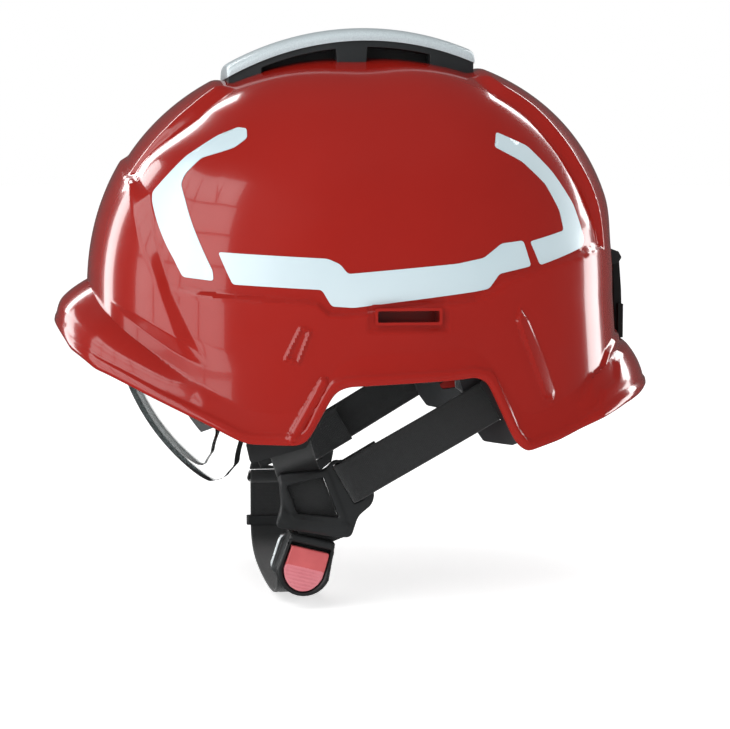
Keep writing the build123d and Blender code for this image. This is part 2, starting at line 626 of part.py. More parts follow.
TONGUE_RADIUS = 145
TONGUE_WIDTH = 14
TONGUE_WALL = 2
buckle -= chin_arc(TONGUE_RADIUS, 6.8, 20, TONGUE_WIDTH + 1, TONGUE_WALL + 0.8)
buckle = buckle - front_left
nodes["buckle_body"] = main_solid(buckle)
nodes["front_strap_left"] = front_left

SPRING_PLACE = on_buckle(0, 14)
BUTTON_FACE_X = 76.3
button = rounded_prism(button_outline, 72.6, BUTTON_FACE_X, 0.7)
grip_ribs = [
    rounded_prism(
        [on_buckle(-half, d), on_buckle(half, d), on_buckle(half, d + 0.9), on_buckle(-half, d + 0.9)],
        BUTTON_FACE_X - 0.5, BUTTON_FACE_X + 1, 0.3,
    )
    for d, half in ((15.2, 6.6), (16.9, 6.4), (18.6, 5.8), (20.3, 5.4), (22, 4.6), (23.7, 3))
]
button = button - grip_ribs
nodes["release_button"] = main_solid(button)
spring_path = Helix(pitch=0.95, height=2.3, radius=2.6, direction=(1, 0, 0), center=(70.05, *SPRING_PLACE))
spring_start = Plane(origin=spring_path @ 0, z_dir=spring_path % 0)
nodes["button_spring"] = sweep(spring_start * Circle(0.2), path=spring_path)

# ---------------------------------------------------------------- chin strap on the right divider's bar
tongue = chin_arc(TONGUE_RADIUS, 7.6, 13.6, TONGUE_WIDTH, TONGUE_WALL)
nodes["buckle_tongue"] = tongue

chin_plane = Plane.XZ.offset(-CHIN_Y)
ring_outer = CHIN_BAR_RADIUS + 0.3 + WEB_WALL
loop = Pos(-DIVIDER_X, CHIN_Y, CHIN_PIVOT_Z) * Rot(90, 0, 0) * (
    Cylinder(ring_outer, WEB_WIDTH) - Cylinder(CHIN_BAR_RADIUS + 0.3, WEB_WIDTH + 2)
)
chin_path = [
    (-DIVIDER_X, CHIN_PIVOT_Z - ring_outer + 0.6), (-DIVIDER_X, -88), (-DIVIDER_X + 0.3, -100), (-72.5, -107.5),
    (-57, -112.6), (-28, -114.6), (0, -114.8), (28, -114), (48, -112), (59.2, -108.2), (61.7, -102.6),
]
chin_strap = ribbon(chin_path, chin_plane, WEB_WIDTH) + loop
nodes["chin_strap"] = chin_strap
KEEPER_Z = -97
keeper = box_between((-DIVIDER_X - 2.6, CHIN_Y - 12, KEEPER_Z - 2.4), (-DIVIDER_X + 2.8, CHIN_Y + 12, KEEPER_Z + 2.4))
keeper = fillet(keeper.edges().filter_by(Axis.Z), 1.2)
nodes["strap_keeper"] = keeper - chin_strap

# ---------------------------------------------------------------- nape cradle and fit adjuster
cradle_band = plan_band(
    CRADLE_HALF_WIDTH, CRADLE_REAR - CRADLE_BEND_Y, CRADLE_WALL, -42, 14, rearward=True,
)
cradle_side = rounded_prism(
    [(2, 0), (12, -7), (43, -7.5), (50, -30), (55, -37), (70, -40), (92, -35), (110, -22), (112, 9), (80, 9), (50, 12),
     (8, 12), (2, 8)],
    -100, 100, 1.8,
)
nape_cradle = cradle_band & cradle_side
cradle_windows = [
    rounded_prism([(60, -14), (84, -8), (86, -16), (74, -26), (62, -28)], 20, 100, 2),
    rounded_prism([(14, 1), (34, 1), (34, 6), (14, 6)], 60, 100, 1),
]
nape_cradle = nape_cradle - cradle_windows - [mirrored(window) for window in cradle_windows]
nodes["nape_cradle"] = nape_cradle

nape_pad = plan_band(
    CRADLE_HALF_WIDTH - 5, CRADLE_REAR - CRADLE_BEND_Y - 5, 5, -34, 4, rearward=True,
) & rounded_prism([(66, -30), (80, -34), (110, -22), (110, 3), (76, 3), (66, -6)], -100, 100, 2)
nodes["nape_pad"] = nape_pad

HOUSING_FRONT = CRADLE_REAR + CRADLE_WALL
HOUSING_DEPTH = 9
HOUSING_HALF = 34
RACK_HEIGHT = 6
RACK_WALL = 2.4
housing_back = HOUSING_FRONT + HOUSING_DEPTH
housing = box_between((-HOUSING_HALF, 96, KNOB_Z - 13), (HOUSING_HALF, housing_back - 1.6, KNOB_Z + 13))
housing = fillet(housing.edges().filter_by(Axis.Y), 4)
cradle_solid = plan_band(
    CRADLE_HALF_WIDTH - 20, CRADLE_REAR - CRADLE_BEND_Y - 20, 20 + CRADLE_WALL, -60, 30, rearward=True,
)
housing = housing - cradle_solid
RACK_Y = housing_back - 1.6 - 3.2
rack_room = box_between(
    (-HOUSING_HALF - 1, RACK_Y - RACK_WALL / 2 - 0.3, KNOB_Z - PINION_RADIUS - RACK_HEIGHT - 0.4),
    (HOUSING_HALF + 1, housing_back, KNOB_Z + PINION_RADIUS + RACK_HEIGHT + 0.4),
)
housing = housing - rack_room
housing = main_solid(housing)
screw_places = [(x, KNOB_Z + z) for x in (-31.6, 31.6) for z in (-10, 10)]


def along_y(x, z, y0, y1, radius):
    """Round bar along Y."""
    return Pos(x, (y0 + y1) / 2, z) * Rot(90, 0, 0) * Cylinder(radius, y1 - y0)


cover_plate = box_between((-HOUSING_HALF, housing_back - 1.6, KNOB_Z - 13), (HOUSING_HALF, housing_back, KNOB_Z + 13))
cover_plate = fillet(cover_plate.edges().filter_by(Axis.Y), 4)
SHAFT_RADIUS = 3
cover_plate = cover_plate - along_y(0, KNOB_Z, 100, 130, SHAFT_RADIUS + 0.05)
housing_screw_holes = [along_y(x, z, 106, 120, 0.8) for x, z in screw_places]
nodes["ratchet_housing"] = housing - housing_screw_holes
nodes["ratchet_cover"] = cover_plate - housing_screw_holes

# Pinion and the two racks it draws together
TEETH = 12
TOOTH_PITCH = 2 * math.pi * PINION_RADIUS / TEETH


def gear(radius, teeth, wall, tooth_depth=1.1):
    """Toothed wheel on the XY plane with simple flat-topped teeth."""
    wheel = Circle(radius - tooth_depth * 0.62)
    for i in range(teeth):
        tooth = Polygon(
            (-0.85, radius - 1.2), (0.85, radius - 1.2), (0.4, radius + 0.38), (-0.4, radius + 0.38), align=None,
        )
        wheel += Rot(0, 0, 360 * (i + 0.5) / teeth) * tooth
    return extrude(wheel, amount=wall / 2, both=True)


pinion = Pos(0, RACK_Y, KNOB_Z) * Rot(90, 0, 0) * gear(PINION_RADIUS, TEETH, RACK_WALL)
pinion += along_y(0, KNOB_Z, RACK_Y, housing_back + 2, SHAFT_RADIUS)
pinion = pinion - along_y(0, KNOB_Z, RACK_Y, housing_back + 3, 1)
nodes["ratchet_pinion"] = pinion


def rack(first_gap_x, x0, x1, side):
    """Toothed strip above (side 1) or below (side -1) the pinion, with a space at first_gap_x."""
    low = KNOB_Z + side * (PINION_RADIUS + 0.62)
    high = KNOB_Z + side * (PINION_RADIUS + RACK_HEIGHT)
    strip = box_between(
        (x0, RACK_Y - RACK_WALL / 2, min(low, high)), (x1, RACK_Y + RACK_WALL / 2, max(low, high)),
    )
    for i in range(-9, 10):
        x = first_gap_x + (i + 0.5) * TOOTH_PITCH
        if x0 + 1 < x < x1 - 1:
            tooth = Polyline((x - 0.62, low + 0.1 * side), (x + 0.62, low + 0.1 * side),
                             (x + 0.3, low - side * 1.05), (x - 0.3, low - side * 1.05), close=True)
            strip += extrude(Plane.XZ.offset(-RACK_Y) * make_face(tooth), amount=RACK_WALL / 2, both=True)
    return strip


gap_phase = TOOTH_PITCH / 2
nodes["rack_left"] = rack(gap_phase - TOOTH_PITCH, -18, 30, 1)
nodes["rack_right"] = rack(gap_phase - TOOTH_PITCH, -30, 18, -1)

KNOB_RADIUS = 16
knob_front = housing_back + 0.6
knob = along_y(0, KNOB_Z, knob_front, knob_front + 9, KNOB_RADIUS)
knob = fillet(knob.edges().filter_by(GeomType.CIRCLE).sort_by(Axis.Y)[-1], 1.5)
grip_count = 18
for i in range(grip_count):
    turn = 2 * math.pi * i / grip_count
    knob -= along_y(
        (KNOB_RADIUS + 0.9) * math.cos(turn), KNOB_Z + (KNOB_RADIUS + 0.9) * math.sin(turn),
        knob_front - 1, knob_front + 10, 1.8,
    )
knob = knob - along_y(0, KNOB_Z, knob_front - 1, housing_back + 2, SHAFT_RADIUS)
knob = knob - along_y(0, KNOB_Z, knob_front - 1, knob_front + 12, 1.1)
knob = knob - along_y(0, KNOB_Z, knob_front + 6.5, knob_front + 12, 3.2)
nodes["ratchet_knob"] = knob
knob_screw = along_y(0, KNOB_Z, RACK_Y + 1, knob_front + 6.5, 1) + along_y(
    0, KNOB_Z, knob_front + 6.5, knob_front + 8.3, 2.8,
)
knob_screw -= Pos(0, knob_front + 8.3, KNOB_Z) * (Box(3.4, 1.6, 0.7) + Box(0.7, 1.6, 3.4))
nodes["knob_screw"] = knob_screw

housing_screws = []
for x, z in screw_places:
    screw = along_y(x, z, housing_back - 5.6, housing_back, 0.8) + along_y(x, z, housing_back, housing_back + 0.5, 1.8)
    housing_screws.append(screw)
nodes["housing_screws"] = Compound(children=housing_screws)

for name, shape in nodes.items():
    export_step(shape, f"parts/{name}.step")
    print(name, [round(v, 1) for v in (*shape.bounding_box().min, *shape.bounding_box().max)], len(shape.solids()))
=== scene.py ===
"""Rescue helmet: the visual model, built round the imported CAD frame, in millimetres until a mesh is made."""

import math

import bmesh
import bpy
import numpy as np
from mathutils import Matrix, Vector
from mathutils.geometry import delaunay_2d_cdt


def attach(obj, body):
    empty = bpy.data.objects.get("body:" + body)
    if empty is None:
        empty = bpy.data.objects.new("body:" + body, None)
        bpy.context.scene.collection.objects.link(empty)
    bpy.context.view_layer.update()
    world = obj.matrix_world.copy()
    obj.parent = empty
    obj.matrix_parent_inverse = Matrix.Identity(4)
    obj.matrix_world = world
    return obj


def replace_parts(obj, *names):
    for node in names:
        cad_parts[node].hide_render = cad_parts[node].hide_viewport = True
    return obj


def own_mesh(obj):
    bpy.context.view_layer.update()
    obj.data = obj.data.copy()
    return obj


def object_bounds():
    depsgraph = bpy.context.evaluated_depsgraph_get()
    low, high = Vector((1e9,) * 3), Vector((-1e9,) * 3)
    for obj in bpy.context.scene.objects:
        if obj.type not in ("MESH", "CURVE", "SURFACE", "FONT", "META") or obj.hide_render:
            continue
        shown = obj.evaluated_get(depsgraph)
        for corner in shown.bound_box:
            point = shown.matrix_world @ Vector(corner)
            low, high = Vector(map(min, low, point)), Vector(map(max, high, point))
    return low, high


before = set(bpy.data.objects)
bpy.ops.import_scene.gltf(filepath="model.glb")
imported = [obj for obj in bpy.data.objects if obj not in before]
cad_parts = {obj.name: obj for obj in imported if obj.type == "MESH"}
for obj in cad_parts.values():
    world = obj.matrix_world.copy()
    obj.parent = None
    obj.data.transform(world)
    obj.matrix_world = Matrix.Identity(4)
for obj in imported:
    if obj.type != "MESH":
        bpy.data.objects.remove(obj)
cad_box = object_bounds()
MM = 0.001

# Shell sizes
RIM_HEIGHT = 30
DOME_TOP = 147
DOME_CENTRE_Y = 3
HALF_WIDTH = 107
FRONT_REACH = 126.5
REAR_REACH = 129.5
PLAN_POWER = 2.25
SHELL_WALL = 2.8
PIVOT = (-8, 24.4)
SLOT = (0, 30, 20, 27)      # side slot: y from, y to, z from, z to

SHELL_EDGE = [
    (-143, 19), (-134, 6), (-123, -2), (-101, -13), (-75.5, -24.8), (-62, -31.5), (-57, -33),
    (-36, -33.4), (-31, -31.5), (-19, -9.5), (-13, -7), (35, -4.8), (47, -3.6), (53, -6),
    (65.5, -34), (71, -38.8), (87, -34.5), (122, -21.5), (137, -17), (150, -15),
]


# ---------------- materials
def texture_height(nodes, links, kind, scale, detail=0.0):
    """Socket of a texture over the part's own coordinates: noise, cells or cell edges, per metre."""
    place = nodes.new("ShaderNodeTexCoord")
    texture = nodes.new("ShaderNodeTexNoise" if kind == "noise" else "ShaderNodeTexVoronoi")
    links.new(place.outputs["Object"], texture.inputs["Vector"])
    texture.inputs["Scale"].default_value = scale
    if kind == "noise":
        texture.inputs["Detail"].default_value = detail
        return texture.outputs["Fac"]
    texture.feature = "DISTANCE_TO_EDGE" if kind == "edges" else "F1"
    return texture.outputs["Distance"]


def add_bump(nodes, links, height, strength, depth, previous=None):
    """Bump from a height socket, chained on an earlier normal if there is one."""
    bump = nodes.new("ShaderNodeBump")
    bump.inputs["Strength"].default_value = strength
    bump.inputs["Distance"].default_value = depth * MM
    links.new(height, bump.inputs["Height"])
    if previous:
        links.new(previous, bump.inputs["Normal"])
    links.new(bump.outputs["Normal"], nodes["Principled BSDF"].inputs["Normal"])


def colour_between(nodes, links, factor, first, second):
    """Base colour that runs between two (position, colour) stops."""
    ramp = nodes.new("ShaderNodeValToRGB")
    for stop, (position, colour) in zip(ramp.color_ramp.elements, (first, second)):
        stop.position = position
        stop.color = (*colour, 1)
    links.new(factor, ramp.inputs["Fac"])
    links.new(ramp.outputs["Color"], nodes["Principled BSDF"].inputs["Base Color"])


def finish(name, colour=(0.8, 0.8, 0.8), roughness=0.5, tint=None, gloss=None, bump=None, edge=0, **settings):
    """Principled material with optional texture.

    tint and gloss are (texture, low, high) for its colour and roughness, and bump is (texture, strength,
    depth in millimetres). edge is the radius that sharp edges look rounded to.
    """
    material = bpy.data.materials.new(name)
    material.use_nodes = True
    nodes, links = material.node_tree.nodes, material.node_tree.links
    shader = nodes["Principled BSDF"]
    for key, value in {"base_color": (*colour, 1), "roughness": roughness, **settings}.items():
        shader.inputs[key.replace("_", " ").title()].default_value = value
    if tint:
        texture, dark, light = tint
        colour_between(nodes, links, texture_height(nodes, links, *texture), (0.3, dark), (0.7, light))
    if gloss:
        texture, low, high = gloss
        span = nodes.new("ShaderNodeMapRange")
        span.inputs["To Min"].default_value = low
        span.inputs["To Max"].default_value = high
        links.new(texture_height(nodes, links, *texture), span.inputs["Value"])
        links.new(span.outputs["Result"], shader.inputs["Roughness"])
    if bump:
        texture, strength, depth = bump
        rounding = None
        if edge:
            bevel = nodes.new("ShaderNodeBevel")
            bevel.samples = 6
            bevel.inputs["Radius"].default_value = edge * MM
            rounding = bevel.outputs["Normal"]
        add_bump(nodes, links, texture_height(nodes, links, *texture), strength, depth, rounding)
    return material


def moulded_plastic(name, dark, light, low, high, grain=900, strength=0.25):
    """Moulded plastic with a spark-eroded grain."""
    patches = ("noise", 40, 4)
    return finish(name, tint=(patches, dark, light), gloss=(patches, low, high),
                  bump=(("noise", grain, 2), strength, 0.08), edge=0.5)


def button_plastic(name, dark, light):
    patches = ("noise", 120, 3)
    return finish(name, roughness=0.3, tint=(patches, dark, light), bump=(patches, 0.05, 0.1))


def brushed_metal(name, colour, roughness):
    grain = ("noise", 500, 3)
    return finish(name, colour, gloss=(grain, roughness - 0.08, roughness + 0.1), bump=(grain, 0.15, 0.05),
                  metallic=1)


def webbing_weave():
    """Black webbing: ribs across the strap, broken into yarns."""
    material = finish("webbing_weave", roughness=0.75, sheen_weight=0.25, sheen_roughness=0.5)
    nodes, links = material.node_tree.nodes, material.node_tree.links
    place = nodes.new("ShaderNodeUVMap")
    yarns = nodes.new("ShaderNodeTexBrick")
    for key, value in {"Scale": 1000, "Brick Width": 1.5, "Row Height": 0.75, "Mortar Size": 0.12,
                       "Mortar Smooth": 0.8, "Color1": (0.021, 0.023, 0.024, 1),
                       "Color2": (0.017, 0.018, 0.019, 1), "Mortar": (0.009, 0.010, 0.010, 1)}.items():
        yarns.inputs[key].default_value = value
    links.new(place.outputs["UV"], yarns.inputs["Vector"])
    links.new(yarns.outputs["Color"], nodes["Principled BSDF"].inputs["Base Color"])
    rise = nodes.new("ShaderNodeMath")
    rise.operation = "SUBTRACT"
    rise.inputs[0].default_value = 1
    links.new(yarns.outputs["Fac"], rise.inputs[1])
    add_bump(nodes, links, rise.outputs["Value"], 0.5, 0.25)
    return material


def lens_clear_painted_edge_shade():
    """Clear polycarbonate, with shade painted into its colour where it is seen edge on."""
    scratches = ("noise", 35, 5)
    material = finish("lens_clear_painted_edge_shade", gloss=(scratches, 0.0, 0.02), transmission_weight=1, coat_weight=0.08)
    nodes, links = material.node_tree.nodes, material.node_tree.links
    nodes["Principled BSDF"].inputs["IOR"].default_value = 1.05
    facing = nodes.new("ShaderNodeLayerWeight")
    facing.inputs["Blend"].default_value = 0.5
    # painted shade: the colour runs from near white where the lens faces the camera to near black where it is
    # seen edge on
    colour_between(nodes, links, facing.outputs["Facing"],
                   (0.74, (0.985, 0.99, 0.99)), (0.79, (0.002, 0.003, 0.003)))
    return material


red_paint = finish("red_paint", tint=(("noise", 9, 3), (0.285, 0.0100, 0.0062), (0.32, 0.0122, 0.0076)),
                   gloss=(("noise", 60, 4), 0.12, 0.2), bump=(("noise", 220, 1), 0.015, 0.15),
                   coat_weight=0.5, coat_roughness=0.03)
film = finish("reflective_film", roughness=0.38, metallic=0.15, coat_weight=0.3, coat_roughness=0.12,
              tint=(("noise", 14, 2), (0.57, 0.70, 0.75), (0.66, 0.78, 0.83)),
              bump=(("edges", 420), 0.12, 0.12))
silver_grey = finish("silver_grey", roughness=0.36, metallic=0.15, coat_weight=0.2, coat_roughness=0.2,
                     tint=(("noise", 1500, 2), (0.50, 0.57, 0.60), (0.60, 0.675, 0.70)),
                     bump=(("noise", 1500, 2), 0.08, 0.05))
foam = finish("bead_foam", roughness=0.7, tint=(("edges", 300), (0.03, 0.031, 0.033), (0.05, 0.051, 0.054)),
              bump=(("edges", 300), 0.6, 0.6))
knit = finish("pad_knit", roughness=0.9, tint=(("cells", 700), (0.036, 0.037, 0.04), (0.02, 0.021, 0.023)),
              bump=(("cells", 700), 0.7, -0.4), sheen_weight=0.5)
dark_plastic = moulded_plastic("dark_plastic", (0.020, 0.024, 0.026), (0.028, 0.033, 0.035), 0.38, 0.5)
black_plastic = moulded_plastic("black_plastic", (0.016, 0.0175, 0.018), (0.023, 0.0245, 0.026), 0.34, 0.48)
band_plastic = moulded_plastic("band_plastic", (0.022, 0.024, 0.026), (0.03, 0.032, 0.035), 0.45, 0.6, 1200)
rubber = moulded_plastic("matt_rubber", (0.010, 0.011, 0.011), (0.016, 0.017, 0.017), 0.6, 0.8, 500, 0.4)
# painted shade: near-black finish for the clear lens's rim faces, standing in for how dark its edge looks
lens_edge_painted_shade = moulded_plastic("lens_edge_painted_shade", (0.004, 0.005, 0.005), (0.008, 0.009, 0.009), 0.2, 0.3, 400, 0.05)
steel = brushed_metal("screw_steel", (0.56, 0.57, 0.58), 0.3)
zinc = brushed_metal("tongue_metal", (0.5, 0.53, 0.54), 0.34)
button_red = button_plastic("button_red", (0.50, 0.085, 0.09), (0.58, 0.11, 0.115))
button_pale = button_plastic("button_pale", (0.60, 0.17, 0.20), (0.68, 0.22, 0.25))
weave = webbing_weave()
clear = lens_clear_painted_edge_shade()


# ---------------- mesh helpers
def make_piece(name, points, faces, materials, body, face_slots=None, uv=None, flat_angle=35):
    """Mesh object in millimetres, riding on a body, smooth except across sharp edges."""
    mesh = bpy.data.meshes.new(name)
    mesh.from_pydata((np.asarray(points, dtype=float) * MM).tolist(), [], [list(face) for face in faces])
    for material in materials:
        mesh.materials.append(material)
    if face_slots is not None:
        mesh.polygons.foreach_set("material_index", np.asarray(face_slots, dtype=np.int32))
    if uv is not None:
        layer = mesh.uv_layers.new(name="UVMap")
        corners = np.empty(len(mesh.loops), dtype=np.int32)
        mesh.loops.foreach_get("vertex_index", corners)
        layer.data.foreach_set("uv", (np.asarray(uv)[corners] * MM).ravel())
    mesh.validate()
    mesh.update()
    mesh.shade_smooth()
    mesh.set_sharp_from_angle(angle=math.radians(flat_angle))
    piece = bpy.data.objects.new(name, mesh)
    bpy.context.scene.collection.objects.link(piece)
    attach(piece, body)
    return piece


def grid_faces(rows, columns, wrap, flip=False, first=0):
    """Quads over a grid of points, with the columns joined up if wrap is set."""
    row = np.arange(rows - 1)[:, None]
    column = np.arange(columns if wrap else columns - 1)[None, :]
    a = row * columns + column
    b = row * columns + (column + 1) % columns
    faces = np.stack([a, b, b + columns, a + columns], axis=-1).reshape(-1, 4) + first
    return (faces[:, ::-1] if flip else faces).tolist()


def ease(value):
    t = np.clip(value, 0, 1)
    return t * t * (3 - 2 * t)


def rounded(outline, radius, steps=5):
    """Closed outline with its corners rounded off."""
    corners = [Vector(p) for p in outline]
    result = []
    for i, corner in enumerate(corners):
        before, after = corners[i - 1], corners[(i + 1) % len(corners)]
        reach_in = min(radius, (before - corner).length * 0.48)
        reach_out = min(radius, (after - corner).length * 0.48)
        start = corner + (before - corner).normalized() * reach_in
        end = corner + (after - corner).normalized() * reach_out
        for k in range(steps + 1):
            t = k / steps
            result.append(tuple(start * (1 - t) ** 2 + corner * 2 * t * (1 - t) + end * t * t))
    return result


def densified(loop, step):
    """Closed loop with points at most a step apart."""
    result = []
    for i, (x0, y0) in enumerate(loop):
        x1, y1 = loop[(i + 1) % len(loop)]
        count = max(1, math.ceil(math.hypot(x1 - x0, y1 - y0) / step))
        result += [(x0 + (x1 - x0) * k / count, y0 + (y1 - y0) * k / count) for k in range(count)]
    return result


def loop_area(loop):
    array = np.asarray(loop)
    following = np.roll(array, -1, axis=0)
    return 0.5 * float(np.sum(array[:, 0] * following[:, 1] - following[:, 0] * array[:, 1]))


def moved_loop(loop, distance):
    """Anticlockwise loop moved inwards along its own normals."""
    array = np.asarray(loop)
    along = np.roll(array, -1, axis=0) - np.roll(array, 1, axis=0)
    along /= np.linalg.norm(along, axis=1)[:, None] + 1e-9
    return array + np.stack([-along[:, 1], along[:, 0]], axis=1) * distance


def inside_loop(u, v, loop):
    """Which points lie inside a closed loop."""
    inside = np.zeros(np.shape(u), dtype=bool)
    for (x0, y0), (x1, y1) in zip(loop, loop[1:] + loop[:1]):
        if y0 == y1:
            continue
        crosses = (y0 > v) != (y1 > v)
        inside ^= crosses & (u < (x1 - x0) * (v - y0) / (y1 - y0) + x0)
    return inside


def nearest(u, v, path):
    """Distance to a run of straight lines."""
    best = np.full(np.shape(u), 1e9)
    for (x0, y0), (x1, y1) in zip(path[:-1], path[1:]):
        dx, dy = x1 - x0, y1 - y0
        t = np.clip(((u - x0) * dx + (v - y0) * dy) / (dx * dx + dy * dy), 0, 1)
        best = np.minimum(best, np.hypot(u - x0 - t * dx, v - y0 - t * dy))
    return best


def above(u, v, path):
    """Distance from an open line that runs along u, positive above it."""
    level = np.interp(u, [p[0] for p in path], [p[1] for p in path])
    return np.where(v > level, 1, -1) * nearest(u, v, path)


def within(u, v, outline):
    """Distance from a closed outline, positive inside it."""
    return np.where(inside_loop(u, v, outline), 1, -1) * nearest(u, v, outline + outline[:1])


def between(u, v, first, second):
    """0 above the first line, 1 below the second, and even in between."""
    under_first = -above(u, v, first)
    over_second = above(u, v, second)
    share = under_first / np.maximum(under_first + over_second, 1e-6)
    return np.where(under_first <= 0, 0, np.where(over_second <= 0, 1, np.clip(share, 0, 1)))


def filled(loop, holes=(), step=None):
    """Triangles that fill a loop, round its holes, with a grid of inner points a step apart."""
    places = [tuple(p) for p in loop]
    rings = [list(range(len(places)))]
    for hole in holes:
        rings.append(list(range(len(places), len(places) + len(hole))))
        places += [tuple(p) for p in hole]
    if step:
        array = np.asarray(loop)
        low, high = array.min(axis=0), array.max(axis=0)
        u, v = np.meshgrid(np.arange(low[0], high[0], step), np.arange(low[1], high[1], step))
        keep = within(u, v, [tuple(p) for p in loop]) > step * 0.5
        for hole in holes:
            keep &= within(u, v, [tuple(p) for p in hole]) < -step * 0.5
        places += list(zip(u[keep].tolist(), v[keep].tolist()))
    edges = [(ring[i], ring[(i + 1) % len(ring)]) for ring in rings for i in range(len(ring))]
    points, _, faces, _, _, _ = delaunay_2d_cdt([Vector(p) for p in places], edges, [], 0, 1e-6)
    array = np.asarray([tuple(p) for p in points])
    centres = np.asarray([array[list(face)].mean(axis=0) for face in faces])
    keep = inside_loop(centres[:, 0], centres[:, 1], [tuple(p) for p in loop])
    for hole in holes:
        keep &= ~inside_loop(centres[:, 0], centres[:, 1], [tuple(p) for p in hole])
    wanted = [list(face) for face, good in zip(faces, keep) if good]
    turned = [face if loop_area(array[face]) > 0 else face[::-1] for face in wanted]
    return array, turned


def anticlockwise(loop):
    return loop if loop_area(loop) > 0 else loop[::-1]


def reworked(piece, work):
    """Piece after a bmesh operation on its mesh."""
    shape = bmesh.new()
    shape.from_mesh(piece.data)
    work(shape)
    shape.to_mesh(piece.data)
    shape.free()
    return piece


def joined_up(piece):
    """Welds the seams of a piece whose faces were made ring by ring."""
    return reworked(piece, lambda shape: bmesh.ops.remove_doubles(shape, verts=shape.verts, dist=0.003 * MM))


def facing_out(piece):
    """Turns every face of a closed piece outwards."""
    return reworked(piece, lambda shape: bmesh.ops.recalc_face_normals(shape, faces=shape.faces))


def closed_ends(rows, count):
    """The two faces that close a tube of so many rings, each of count points."""
    return [list(range(count))[::-1], [i + (rows - 1) * count for i in range(count)]]


def plate(name, loop, low, high, bevel, materials, body, holes=(), step=None, relief=None, tint=None):
    """Moulded plate in the (y, z) plane between two x, its outer face bevelled and with its own relief."""
    loops = [densified(anticlockwise(ring), 1.2) for ring in (loop, *holes)]
    signs = [1] + [-1] * len(holes)
    inset = [[tuple(p) for p in moved_loop(ring, sign * bevel)] for ring, sign in zip(loops, signs)]
    flat, triangles = filled(inset[0], inset[1:], step)
    lift = relief(flat[:, 0], flat[:, 1]) if relief else np.zeros(len(flat))
    points = [np.column_stack([high + lift, flat])]
    faces = list(triangles)
    for ring, sign in zip(loops, signs):
        rings = []
        for k in range(5):
            a = math.pi / 2 * k / 4
            moved = moved_loop(ring, sign * bevel * (1 - math.sin(a)))
            top = relief(moved[:, 0], moved[:, 1]) if relief else np.zeros(len(moved))
            rings.append(np.column_stack([high + top - bevel * (1 - math.cos(a)), moved]))
        rings.append(np.column_stack([np.full(len(ring), float(low)), np.asarray(ring)]))
        first = sum(len(block) for block in points)
        faces += grid_faces(len(rings), len(ring), True, flip=sign > 0, first=first)
        points.append(np.concatenate(rings))
    under, under_triangles = filled(loops[0], loops[1:])
    first = sum(len(block) for block in points)
    faces += [[i + first for i in face[::-1]] for face in under_triangles]
    points.append(np.column_stack([np.full(len(under), float(low)), under]))
    points = np.concatenate(points)
    slots = None
    if tint:
        centres = np.asarray([points[list(face)].mean(axis=0) for face in faces])
        slots = tint(centres[:, 1], centres[:, 2])
    return joined_up(make_piece(name, points, faces, materials, body, face_slots=slots))


def lofted(name, sections, material, body="helmet"):
    """Closed body through matching cross-sections."""
    rows = np.asarray(sections)
    count = rows.shape[1]
    faces = grid_faces(len(rows), count, True) + closed_ends(len(rows), count)
    return facing_out(make_piece(name, rows.reshape(-1, 3), faces, [material], body, flat_angle=42))


def flowing(route, steps=6):
    """Open route with every corner drawn out into a curve."""
    corners = np.asarray(route, dtype=float)
    middles = (corners[:-1] + corners[1:]) / 2
    result = [corners[0]]
    for corner, start, end in zip(corners[1:-1], middles[:-1], middles[1:]):
        for k in range(steps):
            t = k / steps
            result.append(start * (1 - t) ** 2 + corner * 2 * t * (1 - t) + end * t * t)
    return np.asarray(result + [middles[-1], corners[-1]])


def ribbon(name, route, place, body):
    """Flat woven strap with round selvedges on a route of (x, along), set out by place(x, along, across)."""
    path = flowing(route)
    along = np.gradient(path, axis=0)
    along /= np.linalg.norm(along, axis=1)[:, None]
    square = np.stack([along[:, 1], -along[:, 0]], axis=1)
    run = np.concatenate([[0], np.cumsum(np.linalg.norm(np.diff(path, axis=0), axis=1))])
    count = max(2, int(run[-1] / 1.0))
    even = np.linspace(0, run[-1], count)
    centre = np.stack([np.interp(even, run, path[:, k]) for k in (0, 1)], axis=1)
    outwards = np.stack([np.interp(even, run, square[:, k]) for k in (0, 1)], axis=1)
    half, thick = WEB_WIDTH / 2, WEB_WALL / 2
    top = [(across, thick * (GROOVE_SHARE if abs(abs(across) - half + GROOVE_INSET) < 0.5 else 1))
           for across in np.linspace(half - thick, thick - half, 25)]
    edge = [(-half + thick - thick * math.sin(a), thick * math.cos(a))
            for a in np.linspace(0, math.pi, 7)[1:-1]]
    section = top + edge + [(-across, -rise) for across, rise in top + edge]
    points, uv = [], []
    for (x, v), (out_x, out_v), distance in zip(centre, outwards, even):
        for across, rise in section:
            points.append(place(x + out_x * rise, v + out_v * rise, across))
            uv.append((across, distance))
    faces = grid_faces(count, len(section), True) + closed_ends(count, len(section))
    return facing_out(make_piece(name, points, faces, [weave], body, uv=uv))


# ---------------- shell form
def power_of(value, power):
    return np.sign(value) * np.abs(value) ** power


def closing_power(turn):
    rear, front = np.clip(np.cos(turn), 0, 1), np.clip(-np.cos(turn), 0, 1)
    return 2.05 + 0.33 * ease(rear * 1.4) + 0.10 * ease(front * 1.4)


def brim_at(turn):
    """How far the brim stands out of the plan."""
    rear, front = np.clip(np.cos(turn), 0, 1), np.clip(-np.cos(turn), 0, 1)
    return 1.6 + 15.3 * front ** 2.3 + 8.5 * rear ** 3


def lowest_edge(turn):
    """Height of the shell's lower edge where its corners are still sharp."""
    cy = power_of(np.cos(turn), 2 / PLAN_POWER)
    y = DOME_CENTRE_Y + (np.where(cy > 0, REAR_REACH, FRONT_REACH) + brim_at(turn)) * cy
    return np.interp(y, [p[0] for p in SHELL_EDGE], [p[1] for p in SHELL_EDGE])


